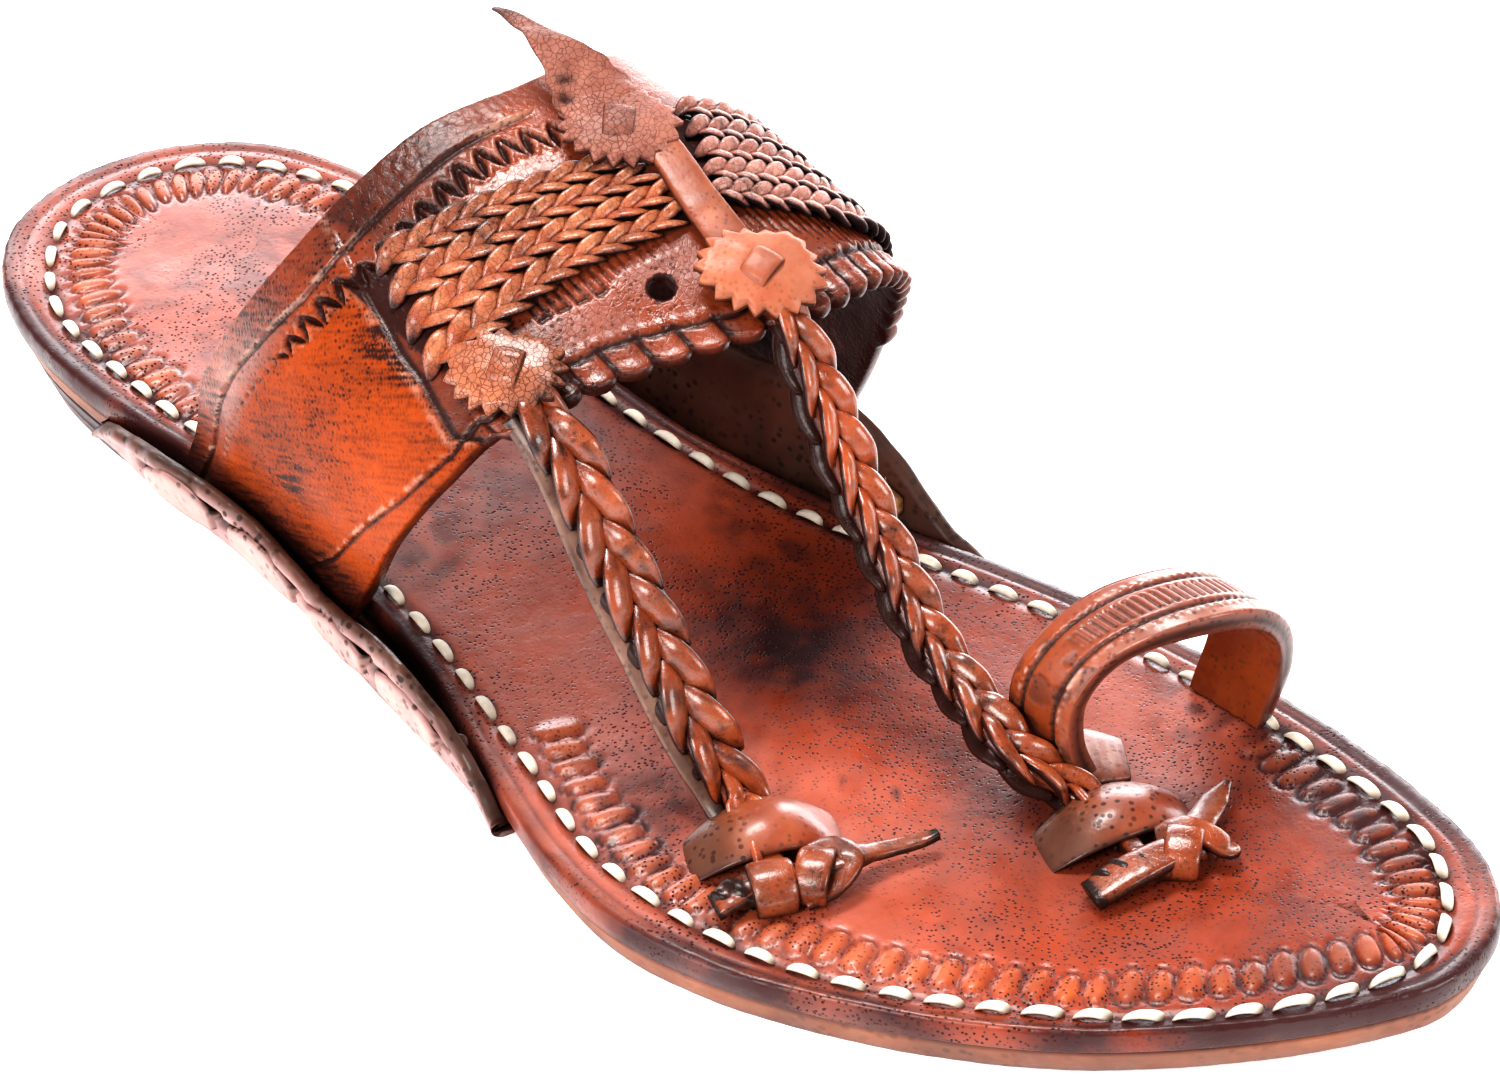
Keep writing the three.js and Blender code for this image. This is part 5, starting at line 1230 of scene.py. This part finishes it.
def tongue_form(r):
    put = around(r)
    at, high = np.array(TONGUE)[:, 0], np.array(TONGUE)

    def form(u, v):
        b = at[0] + (at[-1] - at[0]) * v
        aside, lift, half = (np.interp(b, at, high[:, i]) for i in (1, 2, 3))
        a = 2 * np.pi * u
        c, s = np.cos(a), np.sin(a)
        x = rounded(c, 0.6) * half
        nick = 0.25 * np.sin(b * 2.1) * smooth(0.8, 1, np.abs(c)) * smooth(14, 8, b)
        gutter = 0.45 * (x / 3.0) ** 2 * smooth(6, 12, b)
        h = lift + rounded(s, 0.7) * 0.6 * (1 - 0.35 * v) + gutter + 0.25 * np.sin(b * 0.9 + x)
        # the punched holes are painted dark with a shallow dip, as shade, and the underside is painted in
        # shade
        holes = bump_at(np.hypot(b - 9.0, x + 2.0), 0, 0.7) + bump_at(np.hypot(b - 10.4, x - 0.6), 0, 0.5)
        holes = (holes + bump_at(np.hypot(b - 6.6, x + 3.6), 0, 1.0)) * (s > 0)
        masks = {"shade_and_patina": 0.35 * smooth(0.85, 1, np.abs(c)) + holes + 0.35 * smooth(0, -0.5, s)
                 + 0.4 * smooth(19, 24, b),
                 "rubbed": 0.45 * smooth(0, 0.5, s)}
        return put(aside + x + nick * c, b, h - 0.8 * holes), masks
    return form


rosette_paints = {
    "rear_rosette": leather("cracked_rosette", (0.30, 0.085, 0.05), (0.05, 0.018, 0.014),
                            (0.50, 0.20, 0.14), bump=0.6,
                            coat=0.05, cloud_size=50.0, cloud=0.5, crackle_size=1150.0, crackle=0.35,
                            gloss=0.40),
    "front_rosette": leather("brushed_rosette", (0.42, 0.090, 0.032), (0.06, 0.02, 0.012),
                             (0.56, 0.20, 0.10), bump=0.5,
                             coat=0.1, cloud_size=60.0, cloud=0.45, pore_size=1100.0, pores=0.25,
                             gloss=0.36),
    "side_rosette": leather("glossy_rosette", (0.34, 0.08, 0.03), (0.04, 0.014, 0.010), (0.56, 0.20, 0.09),
                            bump=0.7,
                            coat=0.4, cloud_size=90.0, cloud=0.6, crackle_size=1250.0, crackle=0.45,
                            gloss=0.28)}
for i, (name, r) in enumerate(ROSETTES.items()):
    sheets = [(r["teeth"] * 8, 56, rosette_form(r, 2 + i)), slit_thong(r, 60 + i)]
    if name == "rear_rosette":
        sheets.append((32, 70, tongue_form(r)))
    disc = laid(name, sheets, rosette_paints[name], ends=True)
    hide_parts(name)


# The plaited straps: three flat strands each, from under a rosette down to the forefoot, where they
# thin and go under their bridges. Both faces are made as visible passes over a flat core. A lace lies
# along the outer one.
L, M = BRIDGES["lateral"], BRIDGES["medial"]


def strap_points(u, v, knots, ups, b, ends):
    start = on_band([u, u], v, np.array([0.6, 0.9]))
    start_up = on_band([u, u], v, np.array([1.6, 1.9])) - start
    return (np.vstack([start, knots, [under(b, *e) for e in ends]]),
            np.vstack([start_up, ups, [(-0.1, -0.3, 1), (0, 0, 1), (0, 0, 1)]]))


outer_points, outer_ups = strap_points(
    4.64, [0.20, 0.04], [(-24.1, -12.0, 52.5), (-24.4, -19.0, 43.0), (-24.7, -28.5, 31.6),
                         (-24.9, -36.6, 21.0)],
    [(-0.35, -0.7, 0.62)] * 3 + [(-0.3, -0.7, 0.65)], L, [(-1.2, -6.8, 2.9), (-0.4, 0, 1.9), (0, 8, 2.4)])
inner_points, inner_ups = strap_points(
    7.5, [0.16, 0.02], [(9.3, -24.6, 52.5), (8.5, -32.8, 40.4), (7.4, -40.6, 32.0), (6.2, -48.8, 24.6),
                        (4.9, -59.0, 20.0), (4.3, -66.5, 17.2)],
    [(0, -0.75, 0.66)] * 2 + [(0, -0.7, 0.7), (0, -0.6, 0.8), (0, -0.45, 0.9), (0, -0.4, 0.9)], M,
    [(-3.3, -7.0, 2.7), (-0.8, 0, 1.8), (0, 8, 2.4)])
strap_paint = leather(
    "strap_leather", (0.38, 0.060, 0.012), (0.026, 0.008, 0.006), (0.50, 0.115, 0.030), bump=0.3, coat=0.8,
    cloud_size=60.0, cloud=0.6, pore_size=1200.0, pores=0.3, crackle_size=1200.0, crackle=0.15, gloss=0.16)
lace_paint = leather(
    "lace_leather", (0.10, 0.026, 0.010), (0.025, 0.010, 0.008), (0.55, 0.30, 0.20), bump=0.4, coat=0.4,
    cloud_size=80.0, cloud=0.5, pore_size=900.0, pores=0.4, gloss=0.3)
STRAP_TAPER = [(0, 0.62), (0.08, 0.75), (0.15, 1.0), (0.70, 1.0), (0.80, 0.85), (0.86, 0.62), (1, 0.55)]
STRAP_STRETCH, STRAP_CORE = 1.7, 0.7
for name, points, ups, wide, pitch, thick in (("outer_strap", outer_points, outer_ups, 8.4, 8.2, 2.5),
                                              ("inner_strap", inner_points, inner_ups, 6.9, 7.2, 2.4)):
    at, long = path(points, ups)
    room = lambda d: float(wide * np.interp(d / long, *np.transpose(STRAP_TAPER)))
    turned = lambda t: (at(t)[0], at(t)[1], -at(t)[2], -at(t)[3])
    leaves = [leaf for face in (at, turned)
              for leaf in plait_of(face, long, room, (20, 26), pitch, STRAP_STRETCH, thick * 0.5, 70)]
    core = ribbon_form(at, [(x, y * wide * STRAP_CORE) for x, y in STRAP_TAPER], [(0, thick), (1, thick)],
                       71,
                       dark_ends=0.2)
    laid(name, leaves + [(16, 120, core)], strap_paint, ends=True)
    if name == "outer_strap":
        t = np.linspace(0.10, 0.84, 14)
        p, on, side, up = at(t)
        beside = p + side * 3.7 + up * (-1.3 + 0.5 * np.sin(t * 9)[:, None])
        lace_at = path(beside, up + 0.5 * side)[0]
        laid("outer_lace", [(20, 160, ribbon_form(lace_at, [(0, 2.4), (0.5, 3.4), (1, 2.6)],
                                                  [(0, 1.5), (1, 1.5)],
                                                square=0.7, dark_ends=0.3, seed=80))],
             lace_paint, ends=True)


# The knots: the strap's end is turned round itself on the toe side of the bridge, in a barrel wrap, a
# loop and a cut stub, and a pointed tail is pulled out of the loop.
def end_of(b, places, wide, thick, seed, along=60, **shape):
    """A stub, loop or tail of the strap's end, through places by its bridge."""
    points = np.array([under(b, *q) for q in places])
    at = path(points, np.tile([0.0, 0.0, 1.0], (len(points), 1)))[0]
    return (18, along, ribbon_form(at, wide, thick, seed, **shape))


def wrap(b, along, centre, radius, wide, thick, seed, lean=0.0, first=-30, last=205):
    """A strip that turns over the strap's end: radius (across, up) round a line along the bridge."""
    angles = np.radians(np.linspace(first, last, 15))
    places = [(along + lean * math.cos(q), centre[0] - radius[0] * math.cos(q),
               centre[1] + radius[1] * math.sin(q))
              for q in angles]
    hub = under(b, along, *centre)
    points = np.array([under(b, *q) for q in places])
    at = path(points, points - hub)[0]
    return (18, 60, ribbon_form(at, [(0, wide * 0.9), (0.5, wide), (1, wide * 0.9)],
                                [(0, thick), (1, thick)],
                                square=0.62, seed=seed, dark_ends=0.5))


knot_paint = leather(
    "knot_leather", (0.34, 0.056, 0.012), (0.020, 0.008, 0.006), (0.48, 0.15, 0.055),
    tint=(0.10, 0.035, 0.02),
    bump=0.35, coat=0.6, cloud_size=110.0, cloud=0.5, pore_size=1200.0, pores=0.3, crackle_size=900.0,
    crackle=0.15, gloss=0.2)


def core_form(b, middle, size):
    """The bunched strands inside a knot, a rounded lump."""
    def form(u, v):
        a, e = 2 * np.pi * u, np.pi * (v - 0.5)
        x = middle[0] + size[0] * np.sin(e)
        y = middle[1] + size[1] * np.cos(e) * np.cos(a)
        z = middle[2] + size[2] * np.cos(e) * np.sin(a)
        ridge = 0.25 * np.sin(x * 2.2 + a * 2)
        # the lump is painted dark all over, as shade deep inside the knot
        return (under(b, x, y, np.maximum(z + ridge, 0.25)),
                {"shade_and_patina": 0.65 + 0.3 * np.sin(x * 2.2 + a * 2), "rubbed": 0})
    return form


knots = {
    "outer_knot": [
        (24, 40, core_form(L, (-1.0, 10.2, 2.6), (8.6, 3.0, 2.4))),
        wrap(L, -1.4, (10.3, 2.2), (3.4, 3.1), 6.3, 1.5, 90),
        wrap(L, 4.6, (10.0, 2.6), (3.3, 3.0), 5.0, 1.6, 91, lean=1.6, first=-40, last=215),
        end_of(L, [(-9.4, 11.2, 1.6), (-7.6, 11.0, 2.4), (-4.6, 10.4, 3.2), (-1.0, 9.6, 3.8)],
               [(0, 4.6), (0.5, 4.4), (1, 3.6)], [(0, 1.9), (1, 2.2)], 92, dark_ends=0.9),
        end_of(L, [(2.4, 12.9, 1.2), (6.4, 12.4, 2.6), (9.4, 9.8, 4.6), (8.2, 7.0, 4.6), (4.6, 6.4, 3.8)],
               [(0, 3.2), (0.5, 3.8), (1, 3.0)], [(0, 1.6), (1, 1.6)], 93, square=0.75),
        end_of(L, [(5.5, 9.4, 3.4), (8.6, 9.0, 4.0), (11.6, 8.2, 3.4), (15.2, 7.3, 2.7), (18.6, 6.9, 2.6),
                   (22.2, 6.5, 2.9)],
               [(0, 4.2), (0.25, 4.8), (0.42, 3.0), (0.9, 2.2), (1, 1.5)], [(0, 2.2), (0.4, 1.6), (1, 1.3)],
               94,
               along=90, dark_ends=0.8)],
    "inner_knot": [
        (24, 40, core_form(M, (0.6, 10.0, 2.3), (8.4, 2.9, 2.1))),
        end_of(M, [(-8.6, 12.0, 1.5), (-5.4, 11.6, 2.5), (-1.0, 10.8, 3.3), (3.4, 10.0, 3.4),
                   (6.4, 9.2, 2.4)],
               [(0, 5.0), (0.5, 5.6), (1, 4.6)], [(0, 2.2), (1, 2.4)], 95, along=70, dark_ends=0.9),
        wrap(M, 5.6, (9.4, 2.3), (3.3, 2.8), 5.2, 1.5, 96, lean=1.8, first=-35, last=210),
        end_of(M, [(3.0, 6.8, 3.4), (6.0, 7.6, 4.9), (9.0, 9.6, 4.2), (11.0, 11.4, 2.4), (11.6, 9.6, 1.3)],
               [(0, 4.6), (0.5, 4.4), (1, 2.8)], [(0, 1.6), (1, 1.5)], 97, dark_ends=0.3),
        end_of(M, [(7.2, 8.2, 3.0), (9.2, 5.6, 2.8), (11.4, 3.2, 2.3), (13.8, 0.8, 2.1), (16.6, -1.8, 2.0)],
               [(0, 3.6), (0.3, 4.4), (0.7, 3.8), (1, 1.2)], [(0, 1.6), (1, 1.1)], 98, along=80,
               dark_ends=0.3)]}
for name, sheets in knots.items():
    laid(name, sheets, knot_paint, ends=True)


# The toe loop: two layers of leather sewn along both edges, stamped between the seams, bent over the
# big toe. Its inner foot goes through the insole, its outer foot is folded in flat under the toe.
TOE_LOOP = np.array([    # across, back edge, front edge, height
    (11.8, -61.0, -72.5, 0), (9.3, -60.5, -71.6, 8.0), (9.3, -61.5, -72.2, 16.5),
    (13.0, -64.0, -74.8, 23.5),
    (18.8, -67.0, -79.2, 27.8), (26.0, -70.0, -82.6, 28.6), (33.0, -71.5, -84.0, 26.2),
    (38.6, -71.0, -83.6, 20.0),
    (41.2, -69.5, -82.0, 11.0), (40.3, -67.0, -79.2, 0)])
LOOP_WALL, LOOP_BASE = 3.0, float(top_z(-70.0)) + 0.3
LOOP_STAMPS, LOOP_WIDE = 26, 12.5


def loop_form(u, v):
    back_run = curve(TOE_LOOP[:, [0, 1, 3]] + (0, 0, LOOP_BASE), u)
    front_run = curve(TOE_LOOP[:, [0, 2, 3]] + (0, 0, LOOP_BASE), u)
    ahead, behind = np.clip(u + 0.004, 0, 1), np.clip(u - 0.004, 0, 1)
    on = curve(TOE_LOOP[:, [0, 1, 3]], ahead) - curve(TOE_LOOP[:, [0, 1, 3]], behind)
    across = back_run - front_run
    normal = np.cross(on, across)
    normal /= np.linalg.norm(normal, axis=1, keepdims=True)
    normal *= np.where((normal * (front_run - (26, -72, 22))).sum(-1, keepdims=True) < 0, -1, 1)
    foot = smooth(0.03, 0.0, u) + smooth(0.97, 1.0, u)
    normal[:, 2] *= 1 - foot
    normal /= np.linalg.norm(normal, axis=1, keepdims=True)
    # round the wall: outer face, back edge, inner face, front edge
    outer = v < 0.5
    w = np.interp(v, [0, 0.5, 0.58, 0.92, 1.0], [0, 1, 1, 0, 0])
    rim = np.where((v > 0.5) & (v < 0.58), (v - 0.5) / 0.08,
                   np.where(v > 0.92, (1 - v) / 0.08, np.where(outer, 0, 1)))
    swell = 0.35 * 4 * w * (1 - w)
    seams = bump_at((w - 0.24) * LOOP_WIDE, 0, 0.42) + bump_at((w - 0.76) * LOOP_WIDE, 0, 0.42)
    lips = bump_at((w - 0.17) * LOOP_WIDE, 0, 0.5) + bump_at((w - 0.83) * LOOP_WIDE, 0, 0.5)
    pull = 0.5 + 0.5 * np.sin(u * 330)
    turn = u * LOOP_STAMPS * 2.2
    bar = (bump_at(turn - np.round(turn), 0, 0.24) * smooth(0.17, 0.13, np.abs(w - 0.5))
           * smooth(0.30, 0.40, u) * smooth(0.80, 0.7, u))
    faint = smooth(0.5, 0.7, mottle(u * 30, w * 5, 31)) * smooth(0.36, 0.3, u)
    groove = 0.45 * seams * (0.6 + 0.4 * pull) + 0.42 * bar + 0.15 * faint - 0.18 * lips * pull
    rough = (mottle(u * 40, w * 9, 33) - 0.5) * 0.5 * smooth(0.6, 0.8, u)
    h = np.where(outer, swell - groove, -LOOP_WALL * (1 - np.cos(np.pi * rim)) / 2
                 + np.where(rim > 0.99, rough, 0))
    bulge = 0.35 * np.sin(np.pi * rim) * np.where(w > 0.5, 1, -1) / 12
    points = front_run + across * (w + bulge)[:, None] + normal * h[:, None]
    middle_line = bump_at(rim, 0.5, 0.13) * (~outer)
    edge_zone = np.where(outer, 0, smooth(0.05, 0.3, rim) * smooth(1.0, 0.9, rim))
    inside = np.where(outer, 0, smooth(0.9, 1, rim))
    shade_and_patina = 0.85 * seams * outer + 0.6 * bar * outer + 0.5 * middle_line + 0.3 * edge_zone
    # the inner face is painted in shade under the arch, less towards the inner foot where light reaches it
    shade_and_patina = shade_and_patina + inside * (0.55 - 0.5 * smooth(0.62, 0.8, u)) * (0.5 + mottle(u * 20, w * 4, 35))
    shade_and_patina = shade_and_patina + 0.35 * faint * outer
    rubbed = (outer * (0.8 * lips * smooth(0.4, 0.75, mottle(u * 55, w * 20, 36))
                       + 0.25 * smooth(0.2, 0.05, w)))
    tint = inside * smooth(0.6, 0.75, u) + outer * smooth(0.42, 0.25, u) * 0.9
    return points, {"shade_and_patina": shade_and_patina, "rubbed": rubbed, "tint": tint}


loop_paint = leather(
    "loop_leather", (0.32, 0.080, 0.042), (0.050, 0.020, 0.016), (0.66, 0.44, 0.36),
    tint=(0.34, 0.062, 0.010),
    bump=0.4, coat=0.4, matte=0.6, cloud_size=60.0, cloud=0.45, pore_size=900.0, pores=0.5, gloss=0.28)
tab_places = np.array([(11.4, -61.4, -72.4), (13.2, -62.2, -73.2), (15.5, -63.5, -74.6),
                       (19.6, -67.0, -77.0)])
tab_points = np.stack([tab_places[:, 0], tab_places[:, 1:].mean(1),
                       LOOP_BASE + np.array([1.9, 1.8, 1.7, 0.9])], -1)
tab_at = path(tab_points, np.tile([0.0, 0.0, 1.0], (4, 1)))[0]
toe_loop = laid("toe_loop", [(300, 96, loop_form), (24, 50, ribbon_form(
    tab_at, [(0, 11.2), (0.55, 11.4), (1, 8.4)], [(0, 3.2), (0.6, 3.0), (1, 1.7)], dark_ends=0.3,
    seed=37))],
    loop_paint, ends=True)
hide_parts("toe_loop")
